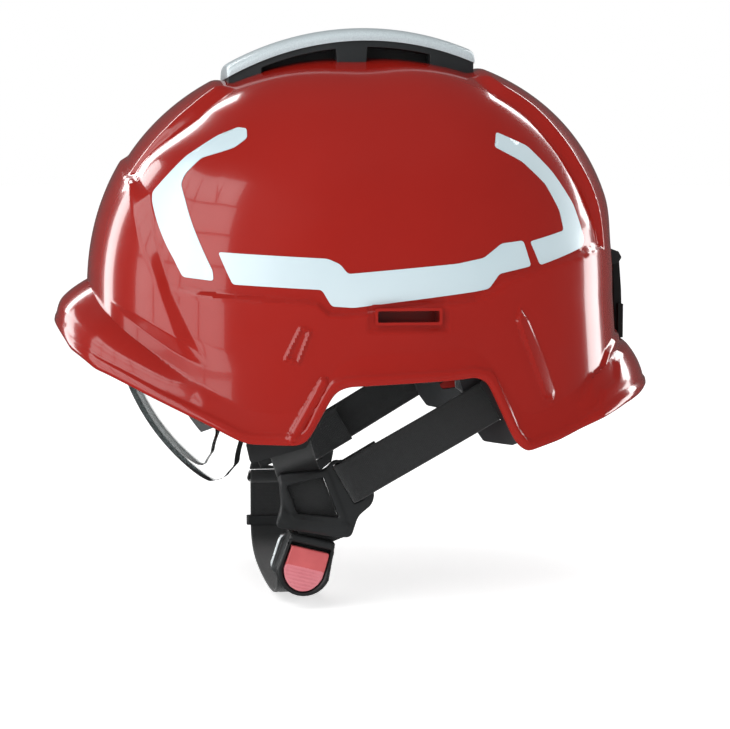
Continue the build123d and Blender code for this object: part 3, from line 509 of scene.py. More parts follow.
def eased_edge(spread):
    """Edge heights all round, evened out over a spread of turn."""
    levels = lowest_edge(EDGE_TURNS)
    reach = int(3 * spread / (EDGE_TURNS[1] - EDGE_TURNS[0]))
    weights = np.exp(-0.5 * (np.arange(-reach, reach + 1) / (reach / 3)) ** 2)
    padded_levels = np.concatenate([levels[-reach - 1:-1], levels, levels[1:reach + 1]])
    return np.convolve(padded_levels, weights / weights.sum(), "valid")


EDGE_TURNS = np.linspace(-math.pi, math.pi, 4001)
BRIM_LEVELS = eased_edge(0.05)
EDGE_LEVELS = eased_edge(0.014)


def shell_plan(turn, height, inset=0.0):
    """x and y of the shell wall, turned by an angle from straight back."""
    c, s = np.cos(turn), np.sin(turn)
    rear, front = np.clip(c, 0, 1), np.clip(-c, 0, 1)
    power = closing_power(turn)
    rise = np.clip((height - RIM_HEIGHT) / (DOME_TOP - inset - RIM_HEIGHT), 0, 1)
    closing = (1 - rise ** power) ** (1 / power)
    reach = np.where(c > 0, REAR_REACH, FRONT_REACH) - inset
    width = HALF_WIDTH - inset
    spread = np.clip(RIM_HEIGHT - height, 0, 100) * (0.02 + 0.05 * rear)
    sx, cy = power_of(s, 2 / PLAN_POWER), power_of(c, 2 / PLAN_POWER)
    x = (width * closing + spread) * sx
    y = DOME_CENTRE_Y + (reach * closing + spread) * cy
    brim = brim_at(turn)
    brim_height = 13 + 6 * front ** 3 + 9 * rear ** 3
    tip_height = np.interp(turn, EDGE_TURNS, BRIM_LEVELS)
    drop = np.clip((tip_height + brim_height - height - inset / 2) / brim_height, 0, 1)
    flare = brim * (c * c * (1 - (1 - drop) ** 2.2) + s * s * drop ** 1.3)
    nx = power_of(s, 2 - 2 / PLAN_POWER) / width
    ny = power_of(c, 2 - 2 / PLAN_POWER) / reach
    size = np.hypot(nx, ny) + 1e-12
    return x + flare * nx / size, y + flare * ny / size


# Turn as a function of the distance round the rim from the front centre line
plan_turns = np.linspace(math.pi, -math.pi, 8001)
plan_x, plan_y = shell_plan(plan_turns, np.full(plan_turns.shape, float(RIM_HEIGHT)))
plan_round = np.concatenate([[0], np.cumsum(np.hypot(np.diff(plan_x), np.diff(plan_y)))])
ROUND = plan_round[-1]


def turn_at(round_):
    """Turn at a distance round the rim, from the front centre by way of the left side."""
    return np.interp(np.mod(round_, ROUND), plan_round, plan_turns)


def side_round(round_):
    """Distance from the front centre line on either side."""
    wrapped = np.mod(round_, ROUND)
    return np.minimum(wrapped, ROUND - wrapped)


def edge_at(round_):
    """Height of the shell's lower edge, its corners eased."""
    return np.interp(turn_at(round_), EDGE_TURNS, EDGE_LEVELS)


# ---------------- relief moulded into the shell
# Lines are (distance round the rim from the front centre line, height).
BROW_EDGE = [(0, 92), (30.5, 87), (51.1, 81.5), (67.7, 63), (83.9, 39.5), (95.1, 13.5), (99, 3), (103, -60),
             (400, -61)]
BROW_FOOT = [(0, 98), (38.7, 89), (66.7, 78.5), (82.4, 52.5), (89.2, 36), (101.5, 14.5), (108, 4),
             (112, -60), (400, -61)]
VEE_TOP = [(0, 34), (50, 30), (54.8, 28.2), (77.9, 21), (96.2, 13), (104, 12.5), (114.2, 8.5), (126.4, 6.5),
           (400, 4)]
VEE_FOOT = [(0, 33), (50, 29.5), (55.6, 26.5), (69.6, 18.5), (90.5, 7.5), (107.8, 0), (116.7, -1),
            (400, -3)]
BELT_TOP = [(0, 36), (89.2, 36), (101.5, 34), (126.4, 32), (153.7, 30.5), (160.5, 29.5), (166, 24.8),
            (172.6, 24.4), (234, 30.5), (242.9, 34.5), (250.8, 39.5), (264, 43), (280.9, 47), (313.7, 52.5),
            (345, 55), (400, 56)]
BRIM_CREASE = [(0, 26), (30, 19), (50, 10.5), (63.6, 5), (77.4, 0), (92.4, -6), (105.3, -9.5), (111.2, -14),
               (400, -15)]
REAR_LEDGE = [(0, -20), (285, -20), (292.6, -16.5), (300.8, -8.5), (311.9, -4.5), (319.4, 2.5),
              (332.3, 7.5), (400, 14)]
REAR_RIB = [(256.7, 26), (261, 21), (277, -11), (274, -17), (268.5, -15), (254.6, 20.5)]
RIB_CORNER, RIB_SIDEWAYS, RIB_WIDTH = (254.6, 20.5), (0.931, 0.365), 8      # top of the rib's front edge
SIDE_MARK = [(153.1, 18.5), (157.2, 17), (152, 3), (146.4, 4.5)]
LOBE_BEAD = [(163.2, -6), (149.6, -31)]
CROWN_BAND = [(-125, 30), (-105, 33), (-98, 36), (-88, 38), (-76.5, 38), (-63.6, 34), (-50, 27), (46, 27),
              (55, 33), (68.6, 47), (84.6, 50), (94, 53), (104, 54), (112, 52), (122, 49)]

# How far each moulded feature stands out or is sunk in
BROW_RISE, SIDE_RISE, BELT_STEP, BRIM_CREASE_DEPTH = 4.2, 0.9, 2.2, 1.3
LEDGE_RISES = (1.9, 1.5)
RIB_RISE, MARK_RISE, BEAD_RISE, BEAD_HALF = 2.4, 1.0, 1.7, 2.4
EDGE_ROLL, EDGE_ROUNDING, SLOT_RECESS = 0.9, 0.7, 1.0


def relief(round_, height, x, y):
    """How far the moulded surface stands out of the plain form."""
    s, z = side_round(round_), height
    behind_brow = 1 - between(s, z, BROW_FOOT, BROW_EDGE)
    below_vee = between(s, z, VEE_TOP, VEE_FOOT)
    fade = 1 - ease((s - 95) / 38)
    aloft = ease((z - 92) / 26)
    over_belt = 1 - ease((1.4 - above(s, z, BELT_TOP)) / 2.8)
    sunk = BELT_STEP * over_belt * np.maximum(ease((s - 84) / 24), aloft)
    upper = BROW_RISE + (SIDE_RISE * fade * (1 - aloft) - sunk - BROW_RISE) * behind_brow
    lower = BROW_RISE * (1 - ease((s - 50) / 45))
    panel = upper + (lower - upper) * below_vee
    half = np.interp(y, [p[0] for p in CROWN_BAND], [p[1] for p in CROWN_BAND])
    lines = [(half_width, along) for along, half_width in CROWN_BAND]
    off_band = np.where(np.abs(x) < half, -1, 1) * nearest(np.abs(x), y, lines)
    steep = np.clip((z - 60) / 60, 0.25, 1)
    uncovered = np.maximum(ease((-57 - y) / 9), ease((y - 57) / 9))
    rise = BELT_STEP * (1 + ease((z - 52) / 25))
    crown = rise * ease((4 - off_band) / 8 / steep) * uncovered - BELT_STEP
    form = np.maximum(panel, crown)
    crease = above(s, z, BRIM_CREASE)
    form -= BRIM_CREASE_DEPTH * ease(-crease / 6) * (1 - ease((s - 95) / 30))
    ledge = above(s, z, REAR_LEDGE)
    rearward = ease((s - 286) / 14)
    upper_ledge, lower_ledge = ease((1.2 - ledge) / 2.4), ease((-6.2 - ledge) / 2.4)
    form += (LEDGE_RISES[0] * upper_ledge + LEDGE_RISES[1] * lower_ledge) * rearward
    behind_front = (s - RIB_CORNER[0]) * RIB_SIDEWAYS[0] + (z - RIB_CORNER[1]) * RIB_SIDEWAYS[1]
    wedge = RIB_RISE * np.clip(1 - behind_front / RIB_WIDTH, 0, 1)
    form += wedge * ease((within(s, z, REAR_RIB) + 0.5) / 1.2)
    form += MARK_RISE * ease((1.1 - np.abs(within(s, z, SIDE_MARK))) / 0.9)
    form += BEAD_RISE * np.sqrt(np.clip(1 - (nearest(s, z, LOBE_BEAD) / BEAD_HALF) ** 2, 0, 1))
    above_edge = np.maximum(z - edge_at(round_), 0)
    slope = (edge_at(round_ + 1) - edge_at(round_ - 1)) / 2
    from_edge = above_edge / np.sqrt(1 + slope ** 2)
    form += EDGE_ROLL * (1 - ease((from_edge - 2.6) / 1.8)) * (1 - 0.75 * ease((60 - s) / 30))
    form -= EDGE_ROUNDING * np.clip(1 - from_edge / 1.4, 0, 1) ** 2
    slot_edge = np.minimum.reduce([y - SLOT[0], SLOT[1] - y, z - SLOT[2], SLOT[3] - z])
    form -= SLOT_RECESS * ease((slot_edge + 4.5) / 3.0) * (np.abs(x) > 90)
    return form


def base_surface(round_, height, inset=0.0):
    x, y = shell_plan(turn_at(round_), height, inset)
    return np.stack([x, y, height], axis=-1)


def outward(round_, height):
    """Direction square to the plain form."""
    step = 0.2
    around = base_surface(round_ + step, height) - base_surface(round_ - step, height)
    up = base_surface(round_, height + step) - base_surface(round_, height - step)
    normal = np.cross(up, around)
    normal /= np.linalg.norm(normal, axis=-1)[..., None] + 1e-12
    level = base_surface(round_, np.full(np.shape(height), 20.0)) * [1, 1, 0]
    flip = np.sign(np.sum(normal * level, axis=-1))
    return normal * np.where(flip == 0, 1, flip)[..., None]


def moulded_point(round_, height, lift=0.0):
    """Point on the finished surface, lifted off it by a distance."""
    base = base_surface(round_, height)
    rise = relief(round_, height, base[..., 0], base[..., 1]) + lift
    return base + outward(round_, height) * rise[..., None]


COLUMNS, DOME_ROWS, SKIRT_ROWS = 960, 150, 64
INNER_STEP = 4          # the hidden inner face has one row for this many outer ones
LIP_DROP = 1.2
rounds = np.arange(COLUMNS) * ROUND / COLUMNS
turns = turn_at(rounds)
powers = closing_power(turns)
arc = np.linspace(math.radians(88.6), 0, DOME_ROWS)[:, None]
dome_heights = RIM_HEIGHT + (DOME_TOP - RIM_HEIGHT) * np.sin(arc) ** (2 / powers[None, :])
share = (np.arange(1, SKIRT_ROWS + 1) / SKIRT_ROWS)[:, None]
skirt_heights = RIM_HEIGHT + (edge_at(rounds)[None, :] - RIM_HEIGHT) * share
heights = np.concatenate([dome_heights, skirt_heights])
all_rounds = np.broadcast_to(rounds[None, :], heights.shape)
outer_points = moulded_point(all_rounds, heights)

last_row = DOME_ROWS + SKIRT_ROWS - 1
inner_rows = np.concatenate([np.arange(0, DOME_ROWS, INNER_STEP), np.arange(DOME_ROWS, last_row, INNER_STEP),
                             [last_row]])
inner_heights = np.minimum(heights[inner_rows], DOME_TOP - SHELL_WALL - 0.05)
inner_points = base_surface(np.broadcast_to(rounds[None, :], inner_heights.shape), inner_heights, SHELL_WALL)
lip_out, lip_in = outer_points[-1], inner_points[-1]
middle, reach = (lip_out + lip_in) / 2, (lip_out - lip_in) / 2
lip = []
for k in range(1, 6):
    a = math.pi * k / 6
    lip.append(middle + reach * math.cos(a) - np.array([0, 0, LIP_DROP]) * math.sin(a))
rows = np.concatenate([outer_points, np.stack(lip), inner_points[::-1]])
shell_points = rows.reshape(-1, 3)


def in_slot(points):
    """Which faces lie in one of the two side slots."""
    y, z = points[:, 1], points[:, 2]
    return (np.abs(points[:, 0]) > 90) & (y > SLOT[0]) & (y < SLOT[1]) & (z > SLOT[2]) & (z < SLOT[3])


face_array = np.asarray(grid_faces(len(rows), COLUMNS, True))
centres = shell_points[face_array].mean(axis=1)
shell_faces = face_array[~in_slot(centres)].tolist()
shell_faces += closed_ends(len(rows), COLUMNS)
shell = make_piece("shell", shell_points, shell_faces, [red_paint], "helmet")
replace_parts(shell, "outer_shell")


POCKET_X, POCKET_WALL = 94.4, 0.6      # inner end of the red socket behind each slot
FRAME_OVERLAP, FRAME_INSET, FRAME_RISE = 0.4, 0.9, 0.9
SIDES = ((1, "left"), (-1, "right"))


def widened_slot(margin, radius):
    y0, y1, z0, z1 = SLOT
    return rounded([(y0 - margin, z0 - margin), (y1 + margin, z0 - margin), (y1 + margin, z1 + margin),
                    (y0 - margin, z1 + margin)], radius)


def slot_socket(name, side):
    """Moulded frame and closed red socket of a side slot."""
    loop, lining = widened_slot(FRAME_OVERLAP, 1.2), widened_slot(-FRAME_INSET, 0.9)
    wall = base_at_y((SLOT[0] + SLOT[1]) / 2, (SLOT[2] + SLOT[3]) / 2)
    rings = ((loop, wall - FRAME_OVERLAP), (loop, wall + FRAME_RISE), (lining, wall + FRAME_RISE),
             (lining, POCKET_X), (loop, POCKET_X - POCKET_WALL))
    points = [(side * x, y, z) for ring, x in rings for y, z in ring]
    faces = grid_faces(len(rings), len(loop), True, flip=side < 0)
    for row in (3, 4):
        ring = [row * len(loop) + i for i in range(len(loop))]
        faces.append(ring[::side])
    make_piece(name, points, faces, [red_paint], "helmet")


def base_at_y(y, z):
    """Half-width of the plain form at a distance along the helmet."""
    candidates = np.linspace(120, 260, 1400)
    places = base_surface(candidates, np.full(candidates.shape, float(z)))
    return float(np.interp(y, places[:, 1], places[:, 0]))


for side, word in SIDES:
    slot_socket(f"slot_frame_{word}", side)


# ---------------- reflective stickers
STICKERS = {
    "front": [(104.3, 110.5), (110.6, 110), (114, 105.5), (109, 101), (92.5, 95), (86.8, 87.5), (86.4, 83),
              (91.5, 76), (111, 44), (111.5, 39.5), (96.2, 41), (91, 49), (70.5, 75), (68.5, 79),
              (82.1, 95.5), (94.6, 105.8)],
    "side": [(113.1, 52.7), (165, 50), (170.8, 47.5), (174.5, 43), (226, 47.3), (239.5, 49.8),
             (249.3, 56.3), (261.5, 57.5), (265, 45.5), (247.2, 42.3), (241.5, 35.5), (234.5, 34.3),
             (177, 27.6), (167, 28.3), (162.5, 35.8), (121, 38)],
    "rear": [(265.4, 108.5), (282, 102), (292.6, 89.5), (301.6, 74), (305.8, 57), (302.5, 53.5),
             (270.6, 45.8), (265.6, 57), (289.1, 61.8), (288.6, 71.5), (283.4, 84), (273.1, 94.5),
             (259.4, 101.5)],
}
FILM_WALL = 0.3


def sticker(name, outline, side):
    """Film cut to an outline and laid on the moulded surface."""
    loop = anticlockwise(densified(rounded(outline, 1.6), 1.5))
    flat, triangles = filled(loop, step=2.0)
    round_ = flat[:, 0] if side > 0 else ROUND - flat[:, 0]
    top = moulded_point(round_, flat[:, 1], FILM_WALL)
    bottom = moulded_point(round_, flat[:, 1], 0.03)
    count = len(flat)
    rim = [int(np.hypot(*(flat - np.asarray(p)).T).argmin()) for p in loop]
    faces = [face[::side] for face in triangles]
    faces += [[i + count for i in face[::-side]] for face in triangles]
    for i, j in zip(rim, rim[1:] + rim[:1]):
        faces.append([i, i + count, j + count, j][::side])
    points = np.concatenate([top, bottom])
    return make_piece(name, points, faces, [film], "helmet", flat_angle=60)


for name, outline in STICKERS.items():
    for side, word in SIDES:
        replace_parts(sticker(f"sticker_{name}_{word}", outline, side), f"reflective_patch_{name}_{word}")


# ---------------- harness, buckle and tongue
WEB_WIDTH, WEB_WALL = 20, 1.6
GROOVE_INSET, GROOVE_SHARE = 2.2, 0.82      # a thinner line along each selvedge
DIVIDER_X, DIVIDER_WALL = 78, 4
BACK_FACE_X = DIVIDER_X - DIVIDER_WALL / 2
FRONT_FACE_X = DIVIDER_X + DIVIDER_WALL / 2
WEB_ON_BACK = BACK_FACE_X - WEB_WALL / 2 - 0.15
WEB_ON_FRONT = FRONT_FACE_X + WEB_WALL / 2 + 0.15
WEB_ON_ANCHOR = 88 - WEB_WALL / 2 - 0.4
WRAP_RADIUS = 2.8
CHIN_Y, CHIN_PIVOT_Z = -31, -73.5
REAR_ORIGIN, REAR_LEAN = (-8.5, -55.2), math.radians(30)
FRONT_ORIGIN, FRONT_LEAN = (-31.5, -52), math.radians(21)

FRONT_ROUTE = [(WEB_ON_ANCHOR, 27), (WEB_ON_ANCHOR - 0.1, 20), (85.6, 15), (82, 10.5), (77.2, 6.5),
               (74.8, 3.4), (WEB_ON_BACK - 0.3, -1), (WEB_ON_BACK, -7)]
BUCKLE_END = [(WEB_ON_BACK - 0.1, -16), (73, -24), (69.6, -31), (67.6, -36.5)]
REAR_ROUTE = [(86.5, 86), (86, 70), (84.2, 44), (81.8, 20), (WEB_ON_FRONT, 8), (WEB_ON_FRONT, 3.5),
              (80.6, -0.8), (DIVIDER_X, -3.1), (75.4, -0.8), (WEB_ON_BACK, 3.5), (WEB_ON_BACK, 9),
              (WEB_ON_BACK, 20)]
CHIN_ROUTE = [(-DIVIDER_X, CHIN_PIVOT_Z - 3), (-DIVIDER_X, -88), (-DIVIDER_X + 0.3, -100), (-72.5, -107.5),
              (-57, -112.6), (-28, -114.6), (0, -114.8), (28, -114), (48, -112), (59.2, -108.2),
              (62.6, -102.2)]


def on_front(side):
    """Places on the front strap: out from the centre plane, up along it and across it."""
    c, s = math.cos(FRONT_LEAN), math.sin(FRONT_LEAN)
    return lambda x, along, across: (
        side * x, FRONT_ORIGIN[0] - s * along + c * across, FRONT_ORIGIN[1] + c * along + s * across)


def on_rear(side):
    """The same for the rear strap."""
    c, s = math.cos(REAR_LEAN), math.sin(REAR_LEAN)
    return lambda x, along, across: (
        side * x, REAR_ORIGIN[0] + c * along - s * across, REAR_ORIGIN[1] + s * along + c * across)


def on_chin(x, along, across):
    return x, CHIN_Y + across, along


def harness_straps():
    """Front and rear straps on both sides, and the chin strap with its loop round the right divider's bar."""
    for side, word in SIDES:
        route = FRONT_ROUTE + (BUCKLE_END if side > 0 else [(WEB_ON_BACK, -14)])
        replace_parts(ribbon(f"front_webbing_{word}", route, on_front(side), "helmet"), f"front_strap_{word}")
        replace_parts(ribbon(f"rear_webbing_{word}", REAR_ROUTE, on_rear(side), "helmet"), f"rear_strap_{word}")
    loop = [(-DIVIDER_X + WRAP_RADIUS * math.cos(a), CHIN_PIVOT_Z + WRAP_RADIUS * math.sin(a))
            for a in np.radians(np.linspace(-70, 250, 24))]
    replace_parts(ribbon("chin_webbing", CHIN_ROUTE, on_chin, "chin"), "chin_strap")
    ribbon("chin_webbing_loop", loop, on_chin, "chin")


DIVIDER_OUTLINE = [(-41.5, -51), (-20, -49.6), (-15.5, -44.6), (-9.5, -46), (3.8, -60), (2.6, -66),
                   (-4.2, -71.5), (-7.5, -81.5), (-14, -81.3), (-43, -76), (-40.3, -66)]
WINDOW = [(-38, -56.4), (-20.5, -52.6), (-13.4, -71.8), (-33, -69.5)]
STRAP_SLOT = [(-2.9, -10.4), (1.8, -10.4), (1.8, 10.4), (-2.9, 10.4)]      # along and across the rear strap
LOWER_BAR = [(-40, -70.2), (-35, -73), (-26, -75.6), (-15, -77), (-10.5, -77)]
WINDOW_FRAME_RISE, BAR_RISE, BAR_HALF = 0.7, 1.4, 3.0


def divider_relief(y, z):
    """Raised frame round the window, and the thick bar below it."""
    frame_edge = -within(y, z, WINDOW)
    bar = np.sqrt(np.clip(1 - (nearest(y, z, LOWER_BAR) / BAR_HALF) ** 2, 0, 1))
    return WINDOW_FRAME_RISE * ease(3.4 - frame_edge) + BAR_RISE * bar


def divider():
    """Left divider plate, with its window and the slot of the rear strap."""
    slot = [on_rear(1)(0, along, across)[1:] for along, across in STRAP_SLOT]
    piece = plate("divider_plate", rounded(DIVIDER_OUTLINE, 2.6), BACK_FACE_X, FRONT_FACE_X - 0.4, 1.0,
                  [black_plastic], "helmet",
                  holes=[rounded(WINDOW, 1.2), rounded(slot, 0.8)], step=0.9, relief=divider_relief)
    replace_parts(piece, "divider_left")


BUCKLE_TOP, BUCKLE_LEAN = (-25.4, -82.1), math.radians(-14.5)


def on_buckle(across, down):
    """(y, z) of a place on the buckle's face."""
    c, s = math.cos(BUCKLE_LEAN), math.sin(BUCKLE_LEAN)
    return BUCKLE_TOP[0] + across * c + down * s, BUCKLE_TOP[1] + across * s - down * c


def down_buckle(y, z):
    """How far down the buckle's face a place is."""
    c, s = math.cos(BUCKLE_LEAN), math.sin(BUCKLE_LEAN)
    return (y - BUCKLE_TOP[0]) * s - (z - BUCKLE_TOP[1]) * c


def shield(top, shoulder, half, bottom, narrowing=1.0):
    """Tongue-shaped outline: straight sides from the top to a round lower end."""
    arc = [on_buckle(half * math.cos(a), shoulder + (bottom - shoulder) * math.sin(a))
           for a in np.linspace(math.radians(12), math.radians(168), 15)]
    corners = [on_buckle(-half * narrowing, top), on_buckle(half * narrowing, top), on_buckle(half, shoulder)]
    return rounded(corners, 1.2)[:12] + arc


def button_relief(y, z):
    """Smooth thumb rest above, scooped and ribbed below."""
    down = down_buckle(y, z)
    scoop = ease((down - 13.6) / 1.2) * (0.9 - 0.5 * ease((down - 16) / 9))
    ribs = 0.28 * np.clip(np.sin((down - 15.6) * 2 * math.pi / 1.65), -0.2, 1) * ease((down - 15.4) / 0.6)
    return -scoop + ribs * (down < 24.6)


def buckle():
    """Buckle with its well, and the release button over the well."""
    body = plate("buckle_case", shield(-0.3, 15, 13, 28, 0.87), 63.2, 75.7, 1.5, [black_plastic], "helmet",
                 holes=[shield(3.6, 14.5, 10.2, 26.1)], step=1.5)
    plate("buckle_well", shield(3.0, 14.5, 10.6, 26.6), 63.4, 69.9, 0.3, [black_plastic], "helmet")
    button = plate("button_cap", shield(5.2, 14.5, 9.7, 25.6), 72.6, 76.2, 0.7,
                   [button_red, button_pale], "button", step=0.45, relief=button_relief,
                   tint=lambda y, z: (down_buckle(y, z) > 14.2).astype(np.int32))
    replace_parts(body, "buckle_body")
    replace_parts(button, "release_button")


def return_spring():
    """Conical coil under the button, whose turns nest when it is pressed flat."""
    turns, per_turn, wire = 3, 24, 0.16
    wide, narrow = 2.9, 1.2
    y0, z0 = on_buckle(0, 14)
    points = []
    for k in range(turns * per_turn + 1):
        a, share = 2 * math.pi * k / per_turn, k / (turns * per_turn)
        radius, x = wide + (narrow - wide) * share, SPRING_FLOOR_X + wire + (SPRING_REACH - 2 * wire) * share
        for b in np.linspace(0, 2 * math.pi, 9)[:-1]:
            out = radius + wire * math.cos(b)
            points.append((x + wire * math.sin(b), y0 + out * math.cos(a), z0 + out * math.sin(a)))
    count = turns * per_turn + 1
    faces = grid_faces(count, 8, True) + closed_ends(count, 8)
    spring = make_piece("return_spring", points, faces, [steel], "helmet")
    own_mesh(spring)
    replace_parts(spring, "button_spring")


SPRING_FLOOR_X, SPRING_REACH = 69.92, 2.6
TONGUE_INNER, TONGUE_OUTER, TONGUE_HALF = 144, 146, 7
TONGUE_TURNS = np.radians(np.linspace(7.6, 13.6, 9))
FRAME_X, FRAME_WIRE = 62, 1.1
FRAME_CORNERS = [(-12.4, 2.5), (11, 2.5), (11, 20.8), (-13.6, 20.8)]


def tongue():
    """Steel tongue about the chin strap's pivot, and the wire frame that joins it to the webbing."""
    section = ((TONGUE_INNER, -TONGUE_HALF), (TONGUE_OUTER, -TONGUE_HALF), (TONGUE_OUTER, TONGUE_HALF),
               (TONGUE_INNER, TONGUE_HALF))
    sections = [[(-DIVIDER_X + r * math.cos(turn), CHIN_Y + across, CHIN_PIVOT_Z - r * math.sin(turn))
                 for r, across in section] for turn in TONGUE_TURNS]
    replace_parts(lofted("tongue_plate", sections, zinc, "chin"), "buckle_tongue")
    loop = densified(rounded([on_buckle(*corner) for corner in FRAME_CORNERS], 4), 2)
    middle = np.asarray(anticlockwise(loop))
    rings = [np.column_stack([np.full(len(middle), FRAME_X + FRAME_WIRE * math.sin(a)),
                              moved_loop(middle, FRAME_WIRE * math.cos(a))])
             for a in np.linspace(0, 2 * math.pi, 11)[:-1]]
    points = np.stack(rings, axis=1)
    faces = grid_faces(len(middle), len(rings), True)
    last = (len(middle) - 1) * len(rings)
    faces += [[last + k, last + (k + 1) % len(rings), (k + 1) % len(rings), k] for k in range(len(rings))]
    facing_out(make_piece("tongue_frame", points.reshape(-1, 3), faces, [zinc], "chin"))


harness_straps()
divider()
buckle()
return_spring()
tongue()

# ---------------- visor lens
LENS_HALF_WIDTH, LENS_RADIUS, LENS_WALL, LENS_POWER = 101, 108, 2.2, 2.25
LENS_TILT = math.radians(32)
LENS_HALF = [(0, 31), (74, 31), (84, 20), (84, -14), (74, -24), (62, -34), (46, -39), (26, -39.5),
             (17, -36), (10, -28)]
LENS_REAR_Y = PIVOT[0] - 20


def on_lens(x, v, inset):
    """Place on the lens form at a distance across and up its own view plane."""
    a, b = LENS_HALF_WIDTH - inset, LENS_RADIUS - inset
    radius = b * (1 - np.clip(np.abs(x) / a, 0, 1) ** LENS_POWER) ** (1 / LENS_POWER)
    depth = np.sqrt(np.clip(radius ** 2 - v ** 2, 0, None))
    y = PIVOT[0] - v * math.sin(LENS_TILT) - depth * math.cos(LENS_TILT)
    z = PIVOT[1] + v * math.cos(LENS_TILT) - depth * math.sin(LENS_TILT)
    return np.stack([x, y, z], axis=-1)


def visor_lens():
    outline = LENS_HALF + [(-x, v) for x, v in LENS_HALF[::-1] if x > 0]
    outline[len(LENS_HALF):len(LENS_HALF)] = [(0, -25)]
    loop = [tuple(p) for p in densified(anticlockwise(rounded(outline, 2)), 2)]
    flat, triangles = filled(loop, step=3)
    outer, inner = on_lens(flat[:, 0], flat[:, 1], 0), on_lens(flat[:, 0], flat[:, 1], LENS_WALL)
    count = len(flat)
    rim = [int(np.hypot(*(flat - np.asarray(p)).T).argmin()) for p in loop]
    faces = [list(face)[::-1] for face in triangles] + [[i + count for i in face] for face in triangles]
    slots = [0] * len(faces)
    points = np.concatenate([outer, inner])
    # The rim faces take the near-black second material: painted shade on the clear lens's edge.
    for i, j in zip(rim, rim[1:] + rim[:1]):
        faces.append([i, j, j + count, i + count])
        slots.append(1)
    keep = [k for k, face in enumerate(faces) if points[face][:, 1].mean() < LENS_REAR_Y]
    piece = make_piece("lens", points, [faces[k] for k in keep], [clear, lens_edge_painted_shade], "visor",
                       face_slots=[slots[k] for k in keep])
    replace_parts(facing_out(piece), "visor_lens")


visor_lens()

# ---------------- crown cover
COVER_FRONT, COVER_REAR = -60, 61
COVER_ARC = (8.5, 19.9, 139)      # centre y, centre z and radius of its long arc
COVER_RIM, COVER_ROUNDING, COVER_SQUARENESS = 7, 2, 0.62
COVER_HALF, COVER_TAPER = 27, 4
FEET = ((-60, -44), (-7, 7), (39, 61))
FOOT_DEPTH, STRIP_DEPTH, SHADE_BLOCK_DEPTH, SHADE_BLOCK_HALF = 11, 3.4, 9, 14


def cover_crown(y):
    return COVER_ARC[1] + np.sqrt(COVER_ARC[2] ** 2 - (y - COVER_ARC[0]) ** 2)


def cover_half(y):
    return COVER_HALF - COVER_TAPER * ((y - 1) / 61) ** 2 * np.where(y < 0, 1.3, 0.9)


def box_section(half, y, low, top):
    return [(half, y, low), (half, y, top), (-half, y, top), (-half, y, low)]


def crown_cover():
    """Silver cap, the dark strip with its feet below the rim, and a black block between them and the shell that
    stands in for the shade in the gaps between the feet.
    """
    middle, reach = (COVER_FRONT + COVER_REAR) / 2, (COVER_REAR - COVER_FRONT) / 2
    turns = np.linspace(0, math.pi, 41)
    cap = []
    for k in range(97):
        y = middle - reach * math.cos(math.pi * k / 96)
        past = max(0.0, abs(y - middle) - reach + COVER_ROUNDING) / COVER_ROUNDING
        near_end = 1.2 * (1 - math.sqrt(max(0.0, 1 - past ** 2)))
        half, top = cover_half(y) - near_end, cover_crown(y) - near_end
        base = cover_crown(y) - COVER_RIM
        cap.append([(half * float(power_of(math.cos(a), COVER_SQUARENESS)), y,
                     base + (top - base) * math.sin(a) ** COVER_SQUARENESS) for a in turns])
    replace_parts(lofted("cover_cap", cap, silver_grey), "vent_cover_cap")
    stations = []
    for start, end in FEET:
        stations += [(start - 0.6, False)] * (start > COVER_FRONT) + [(end + 0.6, False)] * (end < COVER_REAR)
        stations += [(start, True), (end, True)] + [(y, True) for y in range(start + 2, end - 1, 2)]
    for (_, gap_start), (gap_end, _) in zip(FEET[:-1], FEET[1:]):
        stations += [(y, False) for y in range(gap_start + 2, gap_end - 1, 2)]
    body = []
    for y, foot in sorted(stations):
        y = min(max(y, COVER_FRONT + 0.7), COVER_REAR - 0.7)
        top = cover_crown(y) - COVER_RIM + 0.3
        body.append(box_section(cover_half(y) - 0.9, y, top - (FOOT_DEPTH if foot else STRIP_DEPTH), top))
    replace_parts(lofted("cover_body", body, dark_plastic), "vent_cover")
    # painted shade: a black block under the cover that darkens the gaps between its feet
    tops = [(y, cover_crown(y) - COVER_RIM - 1) for y in range(-56, 57, 4)]
    lofted("cover_shade_block", [box_section(SHADE_BLOCK_HALF, y, top - SHADE_BLOCK_DEPTH, top) for y, top in tops], black_plastic)


crown_cover()

# ---------------- soft pads
PAD_VOXEL, PAD_START_INSET, PAD_MAX_MOVE = 4.5, 0.8, 1.6
PAD_PRESSURE, PAD_FRAMES, PAD_FILL = 4, 20, 0.6


def read_vertices(mesh, what):
    values = np.empty(len(mesh.vertices) * 3)
    mesh.vertices.foreach_get(what, values)
    return values.reshape(-1, 3)


